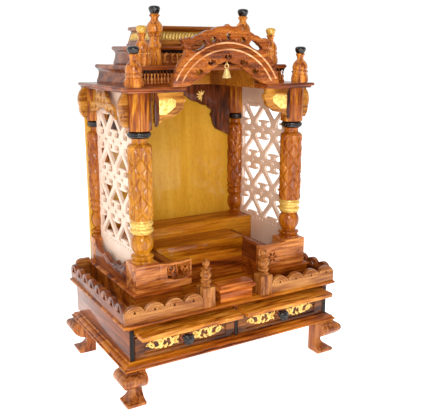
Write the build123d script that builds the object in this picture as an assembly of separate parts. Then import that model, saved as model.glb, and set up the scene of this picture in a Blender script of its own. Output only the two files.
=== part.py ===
from build123d import *
import os
from math import ceil

# Pooja mandir: a wooden home shrine on a drawer stand, in millimetres.
# X runs to the right, Z up, and Y to the back.
# While it is built, Y is measured from the front of the platform's lip, and Z from the floor.

# Drawer case: its width and depth set the plan of everything above and below it
CASE_HALF_WIDTH = 282.5
CASE_FRONT = 14.5
CASE_DEPTH = 355.5
CASE_HEIGHT = 76.0
CASE_BOARD = 12.0
CASE_BACK = CASE_FRONT + CASE_DEPTH
DIVIDER_THICKNESS = 8.0
SHELF_THICKNESS = 5.0
SHELF_SETBACK = 2.0

# Stand: four cabriole legs under a moulded base board
BASE_OVERHANG = 18.5
BASE_FRONT_OVERHANG = 19.5
BASE_BACK_OVERHANG = 3.0
BASE_THICKNESS = 16.0
BASE_MOULDING = 17.0
BASE_HALF_WIDTH = CASE_HALF_WIDTH + BASE_OVERHANG
BASE_FRONT = CASE_FRONT - BASE_FRONT_OVERHANG
BASE_BACK = CASE_BACK + BASE_BACK_OVERHANG
LEG_HEIGHT = 92.0
LEG_WIDTH = 49.0
LEG_KNEE = 11.0
LEG_SHOULDER = 8.0
LEG_CALF = 18.0
LEG_WAIST = 25.0
LEG_TOE = 2.0
LEG_TOE_ROUND = 7.0
LEG_HOLLOW = 4.0
LEG_SWELL = 6.0
LEG_INNER = BASE_HALF_WIDTH - LEG_WIDTH

# Drawers and trays
DRAWER_CLEARANCE = 1.5
DRAWER_TOP_ROOM = 2.4
DRAWER_BACK_ROOM = 23.5
DRAWER_FRONT_THICKNESS = 16.0
DRAWER_WALL = 8.0
DRAWER_FLOOR = 6.0
DRAWER_STILE = 22.0
DRAWER_RAIL = 9.0
DRAWER_RECESS = 5.0
TRAY_THICKNESS = 12.0
TRAY_TOP_ROOM = 3.0
TRAY_BACK_ROOM = 13.5
TRAY_PULLED = 43.0
TRAY_NOSE = 4.0
KNOB_RADIUS = 15.0
KNOB_LENGTH = 24.0
REST_GAP = 0.3

# Platform with its scalloped gallery, gate posts and threshold
PLATFORM_OVERHANG = 17.5
PLATFORM_BACK_OVERHANG = 4.0
PLATFORM_THICKNESS = 17.0
PLATFORM_MOULDING = 15.0
PLATFORM_HALF_WIDTH = CASE_HALF_WIDTH + PLATFORM_OVERHANG
PLATFORM_DEPTH = CASE_BACK + PLATFORM_BACK_OVERHANG
RAIL_INSET = 4.0
RAIL_THICKNESS = 12.0
RAIL_BAND = 25.8
SCALLOP_RISE = 17.2
SCALLOP_PITCH = 46.0
RAIL_FRONT_HOLE = 7.0
RAIL_SIDE_HOLE = 14.0
REAR_RAIL_HEIGHT = 51.0
REAR_RAIL_ROUND = 14.0
POST_WIDTH = 34.0
POST_X = 82.0
POST_FRONT = 3.0
POST_HEIGHT = 51.0
POST_CAP_RADIUS = 14.0
POST_CAP_HEIGHT = 65.0
THRESHOLD_HALF_WIDTH = 52.0
THRESHOLD_FRONT = 6.0
THRESHOLD_BACK = 50.0
THRESHOLD_HEIGHT = 45.0
THRESHOLD_MOULDING = 9.0

# Plinth with its recess, corner blocks, steps and low boards
PLATFORM_WALK = 54.0
BACK_SETBACK = 6.0
PLINTH_HALF_WIDTH = PLATFORM_HALF_WIDTH - PLATFORM_WALK
PLINTH_FRONT = PLATFORM_WALK
BACK_PLANE = PLATFORM_DEPTH - BACK_SETBACK
PLINTH_LEDGE = 5.0
PLINTH_HEIGHT = 45.0
BLOCK_WIDTH = 60.0
BLOCK_HEIGHT = 67.0
BLOCK_SETBACK = 8.0
PILLAR_SETBACK = 35.0
PILLAR_X = PLINTH_HALF_WIDTH - PILLAR_SETBACK
PILLAR_FRONT_Y = PLINTH_FRONT + BLOCK_SETBACK + BLOCK_WIDTH / 2
PILLAR_REAR_INSET = 13.0
PILLAR_REAR_Y = BACK_PLANE - PILLAR_REAR_INSET
RECESS_SIDE = 83.0
RECESS_HALF_WIDTH = PILLAR_X - RECESS_SIDE
UPPER_TREAD = 95.0
LOWER_TREAD = 83.0
UPPER_STEP_FRONT = BACK_PLANE - UPPER_TREAD
RECESS_BACK = UPPER_STEP_FRONT - LOWER_TREAD
LOWER_STEP_HEIGHT = 56.0
UPPER_STEP_HEIGHT = 83.0
STEP_BOARD = 30.0
STEP_NOSE = 4.0
PANEL_THICKNESS = 12.0
FRONT_PANEL_OVERLAP = 31.0
FRONT_PANEL_DROP = 8.0
FRONT_PANEL_RING = 15.0
FRONT_PANEL_LOW = 4.0
PETALS = 6
PETAL_DISTANCE = 0.6
PETAL_LENGTH = 0.3
PETAL_WIDTH = 0.17
SCROLL_FLATNESS = 0.7
SIDE_PANEL_DROP = 36.0
CHEEK_THICKNESS = 20.0
CHEEK_HEIGHT = 51.0
BACK_THICKNESS = 10.0

# Pillars and brackets
PILLAR_HEIGHT = 388.0
SHAFT_RADIUS = 28.0
CAPITAL_HALF_WIDTH = 27.0
CAPITAL_HEIGHT = 79.0
BRACKET_THICKNESS = 12.0
FRONT_BRACKET_LENGTH = 77.0
FRONT_BRACKET_HEIGHT = 66.0
REAR_BRACKET_LENGTH = 160.0
REAR_BRACKET_HEIGHT = 145.0
SIDE_BRACKET_REACH = 24.0
SIDE_BRACKET_HEIGHT = 74.0

# Pierced screens: rows of ogee cells, half-dropped, with crests hung outside them
FIT_GAP = 0.3
SCREEN_OFFSET = 6.0
SCREEN_X = PILLAR_X + SCREEN_OFFSET
SCREEN_THICKNESS = 8.0
SCREEN_GROOVE = 8.0
SCREEN_FRONT_BORDER = 6.0
SCREEN_BACK_BORDER = 4.0
SCREEN_FOOT = 90.0
SCREEN_HEAD = 56.0
CELL_HALF_WIDTH = 47.5
CELL_HALF_HEIGHT = 61.0
CELL_ROW_PITCH = 87.5
CELL_FIRST_ROW = 65.0
STAR_RADIUS = 8.0
CREST_FRONT_ROOM = 74.5
CREST_REAR_ROOM = 22.5
CREST_HEIGHT = 79.0
CREST_THICKNESS = 8.0
CREST_FRONT = PILLAR_FRONT_Y + CREST_FRONT_ROOM
CREST_LENGTH = PILLAR_REAR_Y - CREST_REAR_ROOM - CREST_FRONT
CREST_HOLE = 4.0

# Roof: a board, two stepped tiers, a top box, the pierced arch and the finials
ROOF_THICKNESS = 12.0
ROOF_MOULDING = 6.0
ROOF_OVERHANG = 6.0
ROOF_SETBACK = 3.0
ROOF_HALF_WIDTH = PLINTH_HALF_WIDTH + ROOF_OVERHANG
ROOF_FRONT = PLINTH_FRONT + ROOF_SETBACK
ARCH_SIDE = 109.0
ARCH_THICKNESS = 15.0
ARCH_HEIGHT = 136.0
ARCH_CROWN = 54.0
ARCH_FOOT = 33.0
ARCH_TIP_BEND = 1.4
ARCH_HALF_WIDTH = ROOF_HALF_WIDTH - ARCH_SIDE
ARCH_SETBACK = 0.5
ARCH_FRONT = ROOF_FRONT + ARCH_SETBACK
ROOF_NOTCH = ARCH_HALF_WIDTH - ARCH_FOOT
ROOF_REAR_BAND = 38.0
ROOF_NOTCH_BACK = BACK_PLANE - ROOF_REAR_BAND
TIER_STEP = 46.0
TIER_MOULDING = 10.0
TIER_WALL = 10.0
TIER_LIP = 12.0
TIER_HEIGHT = 44.0
LOWER_TIER_SETBACK = 55.0
UPPER_TIER_DEPTH = 154.0
LOWER_TIER_HALF_WIDTH = ROOF_HALF_WIDTH - TIER_STEP
UPPER_TIER_HALF_WIDTH = LOWER_TIER_HALF_WIDTH - TIER_STEP
LOWER_TIER_FRONT = ROOF_FRONT + LOWER_TIER_SETBACK
UPPER_TIER_FRONT = BACK_PLANE - UPPER_TIER_DEPTH
TOP_SIDE = 42.0
TOP_SETBACK = 12.0
TOP_BATTER = 14.0
TOP_HEIGHT = 48.0
FRONT_FINIAL_INSET = 28.0
FRONT_FINIAL_SETBACK = 25.0
FRONT_FINIAL_RADIUS = 20.0
FRONT_FINIAL_HEIGHT = 87.0
MIDDLE_FINIAL_INSET = 30.0
MIDDLE_FINIAL_SETBACK = 31.0
MIDDLE_FINIAL_RADIUS = 18.0
MIDDLE_FINIAL_HEIGHT = 88.0
REAR_FINIAL_INSET = 38.0
REAR_FINIAL_FORWARD = 26.0
REAR_FINIAL_RADIUS = 20.0
REAR_FINIAL_HEIGHT = 135.0
PEDESTAL_HALF_WIDTH = 18.0
PEDESTAL_HEIGHT = 36.0
PEDESTAL_TAPER = 8.0

# Bell on its hook under the arch
BELL_RADIUS = 11.0
BELL_HEIGHT = 22.0
BELL_RING_RADIUS = 6.0
BELL_RING_WIRE = 2.4
HOOK_WIRE = 1.6
HOOK_RADIUS = 4.0
HOOK_SHANK = 2.0
HOOK_SEAT = 4.0

# Profiles and outlines as (across, up, bend) in hundredths of their own width and height.
# A bend is the rise of an arc to the left of the way it is drawn.
BASE_PROFILE = [(9, 0, -6), (0, 31), (24, 31, -15), (65, 81, 9), (100, 100)]
PLATFORM_PROFILE = [(100, 0, 15), (27, 47), (15, 53, -15), (15, 94), (25, 100)]
THRESHOLD_PROFILE = [(78, 0), (78, 49, 10), (39, 62, -39), (39, 87), (67, 87), (67, 93, -8), (78, 100)]
PLINTH_PROFILE = [(100, 0), (100, 82, 20), (20, 89, -20), (20, 97), (100, 100)]
ROOF_PROFILE = [(100, 0), (100, 25, 17), (20, 42, -20), (20, 92), (40, 100)]
TIER_PROFILE = [(40, 0), (40, 11, 12), (100, 59, 12), (20, 80), (15, 84, -15), (15, 95), (25, 100)]
TOP_PROFILE = [(0, 0), (0, 12.5), (21, 12.5), (100, 75, 8), (43, 81, -11), (43, 96), (57, 100)]
KNOB_PROFILE = [(53, 0), (53, 12.5, 10), (40, 37.5, 13), (80, 54, -10), (93, 71, -16), (53, 92, -7),
                (20, 100)]
POST_CAP_PROFILE = [(93, 0), (93, 6), (71, 9), (89, 15.5, -11), (89, 24.5), (72, 27.5), (72, 31, -28),
                    (72, 55.5), (64, 58.5), (86, 63, -7), (86, 66), (50, 69, 14), (50, 77, -30),
                    (29, 97.5, -6), (1, 100)]
PILLAR_PROFILE = [(93, 0), (93, 1.6), (79, 2.3), (89, 3.9, -7), (89, 5.5), (71, 6.2, 5), (68, 7.8, -25),
                  (71, 21.4), (86, 22.3), (89, 23.3, -10), (89, 26.5), (86, 27.2), (86, 27.5),
                  (89, 28.5, -10), (89, 31.7), (86, 32.7), (96, 34.3), (100, 35.6), (100, 87.4, -3.5),
                  (89, 88.7), (68, 89.6, 5), (68, 93.2), (82, 93.5), (84, 94.2, -12), (84, 97.7),
                  (79, 98.4), (79, 100.3)]
FINIAL_PROFILE = [(100, 0), (100, 22), (90, 24), (96, 27.5, -4), (96, 33.5), (86, 35.5, -6), (92, 46, -8),
                  (50, 62, 5), (40, 69), (46, 74), (55, 77, -4), (55, 80), (45, 81.5, -3), (66, 89.5, -10),
                  (48, 99.4, -2.5), (4, 100)]
TALL_FINIAL_PROFILE = [(65, 26), (75, 29, -10), (70, 37, 5), (65, 47.5), (75, 49, -5), (75, 52.5),
                       (85, 55, -6), (96, 62, -10), (55, 74, 5), (45, 80), (60, 83, -4), (60, 85),
                       (45, 86.5, -3), (67, 93.5, -10), (45, 99.3, -2.5), (5, 99.7)]
BELL_PROFILE = [(0, 78), (36, 64), (76, 14), (85, 0), (100, 0), (91, 14, 3), (50, 82, -9), (18, 100),
                (0, 100)]
SCROLL_TOP = [(100, 100), (92, 100, 2), (12, 70), (0, 86)]
SCROLL_HOLES = [(-62, 28, 8.0), (-62, -28, 4.4), (0, 36, 4.8), (0, -22, 6.4), (62, 36, 8.0), (62, -24, 4.8)]
SWOOP_TOP = [(100, 100, 9), (44, 28), (38, 44, 6), (0, 6)]
FRONT_BRACKET = [(0, 0), (0, -100), (17, -100, -4), (44, -86, 3), (70, -73, 6), (94, -40, 2), (100, -20),
                 (91, -15), (93, 0)]
REAR_BRACKET = [(0, 0), (0, -100), (26, -87, 2), (34, -67), (38, -58, -3), (37, -48, 2), (43, -41, 2),
                (64, -33, 2), (81, -25, 2), (96, -9), (100, 0)]
SIDE_BRACKET = [(0, 0), (0, -100), (40, -100, -15), (76, -64, -18), (65, -12, 5), (45, 0)]
CREST = [(100, -82, -2), (94, -62, -3), (84, -44, -3), (56, -40, -4), (38, -18, -3), (22, 0)]
CREST_FOOT = [(-100, -82, 5), (-40, -66, 3), (0, -52, 3), (40, -66, 5)]
CREST_HOLES = [(0, -14), (0, -34), (24, -34), (48, -56), (72, -60)]
ARCH_OUTSIDE = [(77, 0), (100, 0, -1), (94, 22, -1.5), (79.5, 47.5, 0.5), (76, 55, 1), (79, 63.5, 1),
                (83, 73, -0.7), (81, 76, 1), (71, 78, 1), (63, 76.5, -1.5), (50, 82.5, -2), (29, 90, -2),
                (8, 96, 1)]
ARCH_INSIDE = [(-68.7, 1.5, 2), (-48.7, 11.4, 2), (-33.6, 22.3, 2), (-20.8, 31.8, 2), (-14.5, 35, 1)]
ARCH_HOLES = [[(40, 67, -2), (60, 57, -1), (66, 60, -1), (60, 66, -2), (44, 74, -2)],
              [(22, 74, -2), (30, 71, -2), (32, 76, -2), (25, 79, -2)],
              [(22, 36, -2), (35, 34, -2), (36, 39, -2), (24, 42, -2)],
              [(46, 21, -2), (57, 18, -2), (59, 23, -2), (49, 27, -2)]]
ARCH_MIDDLE_HOLES = [[(-4, 76, -1), (4, 76, -1), (2, 82, -1), (-2, 82, -1)],
                     [(-6, 45, -2), (6, 45, -2), (4, 49, -2), (-4, 49, -2)]]
CELL_HOLE = [(0, 98), (-57, 53, -2), (-74, 33, -1), (-72, 22, -2), (-62, 15.5), (-25, 15.5), (-20, 20),
             (-20, 33), (-36, 32, 2), (-46, 38, 1.5), (-40, 43), (0, 44), (40, 43, 1.5), (46, 38, 2),
             (36, 32), (20, 33), (20, 20), (25, 15.5), (62, 15.5, -2), (72, 22, -1), (74, 33, -2), (57, 53)]
STAR = [(90, 0), (30, 30), (0, 100), (-30, 30), (-90, 0), (-30, -30), (0, -100), (30, -30)]

# Levels above the floor
BASE_TOP = LEG_HEIGHT + BASE_THICKNESS
CASE_TOP = BASE_TOP + CASE_HEIGHT
PLATFORM_TOP = CASE_TOP + PLATFORM_THICKNESS
PLINTH_TOP = PLATFORM_TOP + PLINTH_HEIGHT
BLOCK_TOP = PLINTH_TOP + BLOCK_HEIGHT
ROOF_UNDERSIDE = BLOCK_TOP + PILLAR_HEIGHT
ROOF_TOP = ROOF_UNDERSIDE + ROOF_THICKNESS
LOWER_TIER_TOP = ROOF_TOP + TIER_HEIGHT
UPPER_TIER_TOP = LOWER_TIER_TOP + TIER_HEIGHT
TRAY_BOTTOM = CASE_TOP - TRAY_THICKNESS - TRAY_TOP_ROOM
SHELF_BOTTOM = TRAY_BOTTOM - REST_GAP - SHELF_THICKNESS
PANEL_BACK = BACK_PLANE - BACK_THICKNESS

# The origin is under the middle of the whole box, trays as they stand
FRONT_MOST = CASE_FRONT - TRAY_PULLED
BACK_MOST = BASE_BACK + LEG_KNEE
ORIGIN_Y = (FRONT_MOST + BACK_MOST) / 2

# How far a cutter reaches past the wood it cuts
PAST = 1.0

parts = {}


def sized(points, across, up, foot=0.0):
    """Points given in hundredths of a width and a height, as lengths above a foot."""
    return [(a * across / 100, foot + b * up / 100, *(bend * across / 100 for bend in rest))
            for a, b, *rest in points]


def block(x0, x1, y0, y1, z0, z1):
    """A plain board or post between two corners."""
    return Pos(x0, y0, z0) * Box(x1 - x0, y1 - y0, z1 - z0, align=(Align.MIN, Align.MIN, Align.MIN))


def outline(points):
    """A closed face through (a, b, bend) points; a bend is how far the arc that leaves the point rises."""
    edges = []
    for here, there in zip(points, points[1:] + points[:1]):
        start = (here[0], here[1])
        end = (there[0], there[1])
        bend = here[2] if len(here) > 2 else 0
        if bend:
            edges.append(SagittaArc(start, end, bend))
        else:
            edges.append(Line(start, end))
    return make_face(edges)


def other_half(points):
    """The points of a right-hand half, met again on the left in the order that closes the outline."""
    bends = [point[2] if len(point) > 2 else 0 for point in points]
    left = [(-points[k][0], points[k][1], bends[k - 1] if k else 0) for k in range(len(points) - 1, -1, -1)]
    return left[1:] if points[-1][0] == 0 else left


def upright(face, y_front, thickness):
    """A board cut from a face drawn in X and Z, standing behind y_front."""
    return Pos(0, y_front, 0) * extrude(Plane.XZ * face, -thickness)


def sideways(face, x_left, thickness):
    """A board cut from a face drawn in Y and Z, standing right of x_left."""
    return Pos(x_left, 0, 0) * extrude(Plane.YZ * face, thickness)


def turned(profile, x=0.0, y=0.0, z=0.0):
    """A turned piece from (radius, height, bend) points, foot first, standing at x, y, z."""
    face = outline([(0, profile[0][1])] + list(profile) + [(0, profile[-1][1])])
    return Pos(x, y, z) * revolve(Plane.XZ * face, Axis.Z)


def moulded(half_width, front, back, steps, plain_back=False):
    """A board with the same moulding on its front and sides, and on its back unless it is plain."""
    def edge(middle):
        lower = [(middle - inset, z, *bend) for inset, z, *bend in steps[:-1]]
        return lower + [(middle - steps[-1][0], steps[-1][1])]

    depth = back - front
    across = edge(half_width)
    board = upright(outline(across + other_half(across)), front, depth)
    along = edge(depth / 2)
    if plain_back:
        facing = [(depth / 2, steps[0][1]), (depth / 2, steps[-1][1])] + other_half(along)
    else:
        facing = along + other_half(along)
    return board & Pos(0, front + depth / 2, 0) * sideways(outline(facing), -half_width, 2 * half_width)


def pair(*pieces):
    """The pieces and their mirror images on the other side of the middle."""
    return Compound(children=[*pieces, *(mirror(piece, about=Plane.YZ) for piece in pieces)])


def cabriole_leg(rear):
    """A right-hand bandsawn leg: the same S-curve on its two outer faces, straight inside."""
    def curve(outer_edge, inner):
        knee = outer_edge + LEG_KNEE
        waist = outer_edge - LEG_WAIST
        toe = outer_edge - LEG_TOE
        return outline([(inner, 0), (toe - LEG_TOE_ROUND, 0, -LEG_TOE_ROUND / 6), (toe, 0.05 * LEG_HEIGHT),
                        (toe, 0.11 * LEG_HEIGHT, LEG_HOLLOW), (waist, 0.32 * LEG_HEIGHT, LEG_HOLLOW),
                        (outer_edge - LEG_CALF, 0.48 * LEG_HEIGHT, -LEG_HOLLOW),
                        (knee, 0.72 * LEG_HEIGHT, -LEG_SWELL), (toe, 0.93 * LEG_HEIGHT, -LEG_SWELL / 4),
                        (outer_edge - LEG_SHOULDER, LEG_HEIGHT), (inner, LEG_HEIGHT)])

    half_depth = (BASE_BACK - BASE_FRONT) / 2
    reach = LEG_WIDTH + LEG_KNEE
    across = upright(curve(BASE_HALF_WIDTH, LEG_INNER), half_depth - LEG_WIDTH, reach)
    along = sideways(curve(half_depth, half_depth - LEG_WIDTH), LEG_INNER, reach)
    leg = across & along
    if not rear:
        leg = mirror(leg, about=Plane.XZ)
    return Pos(0, BASE_FRONT + half_depth, 0) * leg


def make_stand():
    parts["legs"] = pair(cabriole_leg(False), cabriole_leg(True))
    steps = sized(BASE_PROFILE, BASE_MOULDING, BASE_THICKNESS, LEG_HEIGHT)
    parts["base_board"] = moulded(BASE_HALF_WIDTH, BASE_FRONT, BASE_BACK, steps)
    inner = CASE_HALF_WIDTH - CASE_BOARD
    inside = CASE_BACK - CASE_BOARD
    parts["case_sides"] = pair(block(inner, CASE_HALF_WIDTH, CASE_FRONT, CASE_BACK, BASE_TOP, CASE_TOP))
    parts["case_back"] = block(-inner, inner, inside, CASE_BACK, BASE_TOP, CASE_TOP)
    half_divider = DIVIDER_THICKNESS / 2
    shelf_front = CASE_FRONT + SHELF_SETBACK
    shelf_top = SHELF_BOTTOM + SHELF_THICKNESS
    divider = block(-half_divider, half_divider, CASE_FRONT, inside, BASE_TOP, SHELF_BOTTOM)
    guide = block(-half_divider, half_divider, shelf_front, inside, shelf_top, CASE_TOP)
    parts["case_divider"] = Compound(children=[divider, guide])
    parts["dust_shelf"] = block(-inner, inner, shelf_front, inside, SHELF_BOTTOM, shelf_top)


def drawer_span(side):
    """The left and right edges of one drawer or tray, clear of the case."""
    near = DIVIDER_THICKNESS / 2 + DRAWER_CLEARANCE
    far = CASE_HALF_WIDTH - CASE_BOARD - DRAWER_CLEARANCE
    return (near, far) if side > 0 else (-far, -near)


def make_drawer(side, name):
    """An open box with a framed front whose middle is sunk for the carving."""
    left, right = drawer_span(side)
    floor = BASE_TOP + REST_GAP
    top = SHELF_BOTTOM - DRAWER_TOP_ROOM
    front = CASE_FRONT
    back = CASE_BACK - CASE_BOARD - DRAWER_BACK_ROOM
    box = block(left, right, front, back, floor, top)
    box -= block(left + DRAWER_WALL, right - DRAWER_WALL, front + DRAWER_FRONT_THICKNESS, back - DRAWER_WALL,
                 floor + DRAWER_FLOOR, top)
    box -= block(left + DRAWER_STILE, right - DRAWER_STILE, front, front + DRAWER_RECESS,
                 floor + DRAWER_RAIL, top - DRAWER_RAIL)
    parts[f"drawer_{name}"] = box
    knob = Rot(90, 0, 0) * turned(sized(KNOB_PROFILE, KNOB_RADIUS, KNOB_LENGTH))
    parts[f"knob_{name}"] = Pos((left + right) / 2, front + DRAWER_RECESS, (floor + top) / 2) * knob


def make_tray(side, name):
    left, right = drawer_span(side)
    front = CASE_FRONT - TRAY_PULLED
    back = CASE_BACK - CASE_BOARD - TRAY_BACK_ROOM - TRAY_PULLED
    board = block(left, right, front, back, TRAY_BOTTOM, TRAY_BOTTOM + TRAY_THICKNESS)
    front_edges = board.edges().filter_by(Axis.X).group_by(Axis.Y)[0]
    parts[f"tray_{name}"] = fillet(front_edges, TRAY_NOSE)


def scalloped_rail(length, hole):
    """A band with round scallops along its top, each pierced by a small triangle, front at y = 0."""
    count = max(1, round(length / SCALLOP_PITCH))
    pitch = length / count
    points = [(0, 0), (length, 0)]
    for k in range(count):
        points.append((length - k * pitch, RAIL_BAND, -SCALLOP_RISE))
    points.append((0, RAIL_BAND))
    rail = upright(outline(points), 0, RAIL_THICKNESS)
    cutters = []
    for k in range(count):
        middle = (k + 0.5) * pitch
        foot = RAIL_BAND - hole / 4
        opening = outline([(middle - hole / 2, foot), (middle + hole / 2, foot), (middle, foot + hole)])
        cutters.append(upright(opening, -PAST, RAIL_THICKNESS + 2 * PAST))
    return rail - cutters


def make_platform():
    steps = sized(PLATFORM_PROFILE, PLATFORM_MOULDING, PLATFORM_THICKNESS, CASE_TOP)
    parts["platform_board"] = moulded(PLATFORM_HALF_WIDTH, 0, PLATFORM_DEPTH, steps)
    outer = PLATFORM_HALF_WIDTH - RAIL_INSET
    half_post = POST_WIDTH / 2
    post_outer = POST_X + half_post
    front_rail = scalloped_rail(outer - post_outer, RAIL_FRONT_HOLE)
    parts["rail_front"] = pair(Pos(post_outer, RAIL_INSET, PLATFORM_TOP) * front_rail)
    side_front = RAIL_INSET + RAIL_THICKNESS
    side_back = PLATFORM_DEPTH - RAIL_INSET
    side_rail = scalloped_rail(side_back - side_front, RAIL_SIDE_HOLE)
    parts["rail_sides"] = pair(Pos(outer, side_front, PLATFORM_TOP) * Rot(0, 0, 90) * side_rail)
    rear_inner = PLINTH_HALF_WIDTH + PLINTH_LEDGE
    rear = block(rear_inner, outer - RAIL_THICKNESS, side_back - RAIL_THICKNESS, side_back,
                 PLATFORM_TOP, PLATFORM_TOP + REAR_RAIL_HEIGHT)
    outer_top = rear.edges().filter_by(Axis.Y).group_by(Axis.Z)[-1].sort_by(Axis.X)[-1]
    parts["rail_rear"] = pair(fillet(outer_top, REAR_RAIL_ROUND))
    post = block(POST_X - half_post, post_outer, POST_FRONT, POST_FRONT + POST_WIDTH,
                 PLATFORM_TOP, PLATFORM_TOP + POST_HEIGHT)
    cap = turned(sized(POST_CAP_PROFILE, POST_CAP_RADIUS, POST_CAP_HEIGHT), POST_X, POST_FRONT + half_post,
                 PLATFORM_TOP + POST_HEIGHT)
    parts["gate_posts"] = pair(post + cap)
    steps = sized(THRESHOLD_PROFILE, THRESHOLD_MOULDING, THRESHOLD_HEIGHT, PLATFORM_TOP)
    parts["threshold"] = moulded(THRESHOLD_HALF_WIDTH, THRESHOLD_FRONT, THRESHOLD_BACK, steps)


def topped_board(length, height, drop, top_edge):
    """A low board whose top edge is given from its right end to its middle, dropping by so much at most."""
    half = length / 2
    top = sized(top_edge, half, drop, height - drop)
    return outline([(-half, 0), (half, 0)] + top + other_half(top))


def make_plinth():
    steps = sized(PLINTH_PROFILE, PLINTH_LEDGE, PLINTH_HEIGHT, PLATFORM_TOP)
    front = PLINTH_FRONT - PLINTH_LEDGE
    plinth = moulded(PLINTH_HALF_WIDTH + PLINTH_LEDGE, front, BACK_PLANE, steps, plain_back=True)
    plinth -= block(-RECESS_HALF_WIDTH, RECESS_HALF_WIDTH, front - PAST, RECESS_BACK,
                    PLATFORM_TOP - PAST, PLINTH_TOP + PAST)
    parts["plinth_base"] = plinth
    half = BLOCK_WIDTH / 2
    block_front = PILLAR_FRONT_Y - half
    rear_front = PILLAR_REAR_Y - half
    front = block(PILLAR_X - half, PILLAR_X + half, block_front, PILLAR_FRONT_Y + half, PLINTH_TOP, BLOCK_TOP)
    rear = block(PILLAR_X - half, PILLAR_X + half, rear_front, PANEL_BACK, PLINTH_TOP, BLOCK_TOP)
    slot = screen_envelope(FIT_GAP)
    parts["corner_blocks"] = pair(front - slot, rear - slot)
    gap_front = PILLAR_FRONT_Y + half
    length = rear_front - gap_front
    side = topped_board(length, BLOCK_HEIGHT, SIDE_PANEL_DROP, SWOOP_TOP)
    side = sideways(side, PILLAR_X + half - PANEL_THICKNESS, PANEL_THICKNESS)
    parts["side_panels"] = pair(Pos(0, gap_front + length / 2, PLINTH_TOP) * side)
    parts["front_panels"] = Compound(children=[front_panel(-1), front_panel(1)])
    cheek = block(RECESS_HALF_WIDTH, RECESS_HALF_WIDTH + CHEEK_THICKNESS, block_front + PANEL_THICKNESS,
                  UPPER_STEP_FRONT, PLINTH_TOP, PLINTH_TOP + CHEEK_HEIGHT)
    parts["recess_cheeks"] = pair(cheek)
    tread = PLINTH_TOP + LOWER_STEP_HEIGHT
    riser = block(-RECESS_HALF_WIDTH, RECESS_HALF_WIDTH, RECESS_BACK, UPPER_STEP_FRONT, PLINTH_TOP, tread)
    nosing = block(-RECESS_HALF_WIDTH, RECESS_HALF_WIDTH, RECESS_BACK - STEP_NOSE, RECESS_BACK,
                   tread - STEP_BOARD, tread)
    parts["lower_step"] = riser + nosing
    step_half = SCREEN_X - SCREEN_THICKNESS / 2 - FIT_GAP
    block_inner = PILLAR_X - half
    upper_tread = PLINTH_TOP + UPPER_STEP_HEIGHT
    upper = block(-step_half, step_half, UPPER_STEP_FRONT, rear_front, PLINTH_TOP, upper_tread)
    upper += block(-block_inner, block_inner, rear_front, PANEL_BACK, PLINTH_TOP, upper_tread)
    parts["upper_step"] = upper
    back_half = PILLAR_X + half
    parts["back_panel"] = block(-back_half, back_half, PANEL_BACK, BACK_PLANE, PLINTH_TOP, ROOF_UNDERSIDE)


def front_panel(side):
    """A low board beside the recess: pierced scrollwork on the left, a ring of petals on the right."""
    length = PILLAR_X - BLOCK_WIDTH / 2 - RECESS_HALF_WIDTH + FRONT_PANEL_OVERLAP
    height = BLOCK_HEIGHT - FRONT_PANEL_LOW
    face = topped_board(length, height, FRONT_PANEL_DROP, SCROLL_TOP)
    middle = height / 2 - FRONT_PANEL_LOW
    petal = Ellipse(FRONT_PANEL_RING * PETAL_LENGTH, FRONT_PANEL_RING * PETAL_WIDTH)
    holes = []
    if side > 0:
        for k in range(PETALS):
            turn = Rot(0, 0, 360 / PETALS * k)
            holes.append(Pos(0, middle) * turn * Pos(FRONT_PANEL_RING * PETAL_DISTANCE, 0) * petal)
    else:
        for a, b, radius in SCROLL_HOLES:
            place = Pos(a * length / 200, middle + b * height / 200)
            holes.append(place * Ellipse(radius, radius * SCROLL_FLATNESS))
    front = PILLAR_FRONT_Y - BLOCK_WIDTH / 2
    board = upright(face, front, PANEL_THICKNESS)
    board -= [upright(hole, front - PAST, PANEL_THICKNESS + 2 * PAST) for hole in holes]
    centre = RECESS_HALF_WIDTH - FRONT_PANEL_OVERLAP + length / 2
    return Pos(side * centre, 0, PLINTH_TOP) * board


def screen_envelope(gap):
    """The room that one screen takes, with a gap all round, right-hand side."""
    half = SCREEN_THICKNESS / 2 + gap
    front = PILLAR_FRONT_Y + SHAFT_RADIUS - SCREEN_GROOVE - gap
    back = PILLAR_REAR_Y - SHAFT_RADIUS + SCREEN_GROOVE + gap
    return block(SCREEN_X - half, SCREEN_X + half, front, back, PLINTH_TOP, ROOF_UNDERSIDE)


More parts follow.
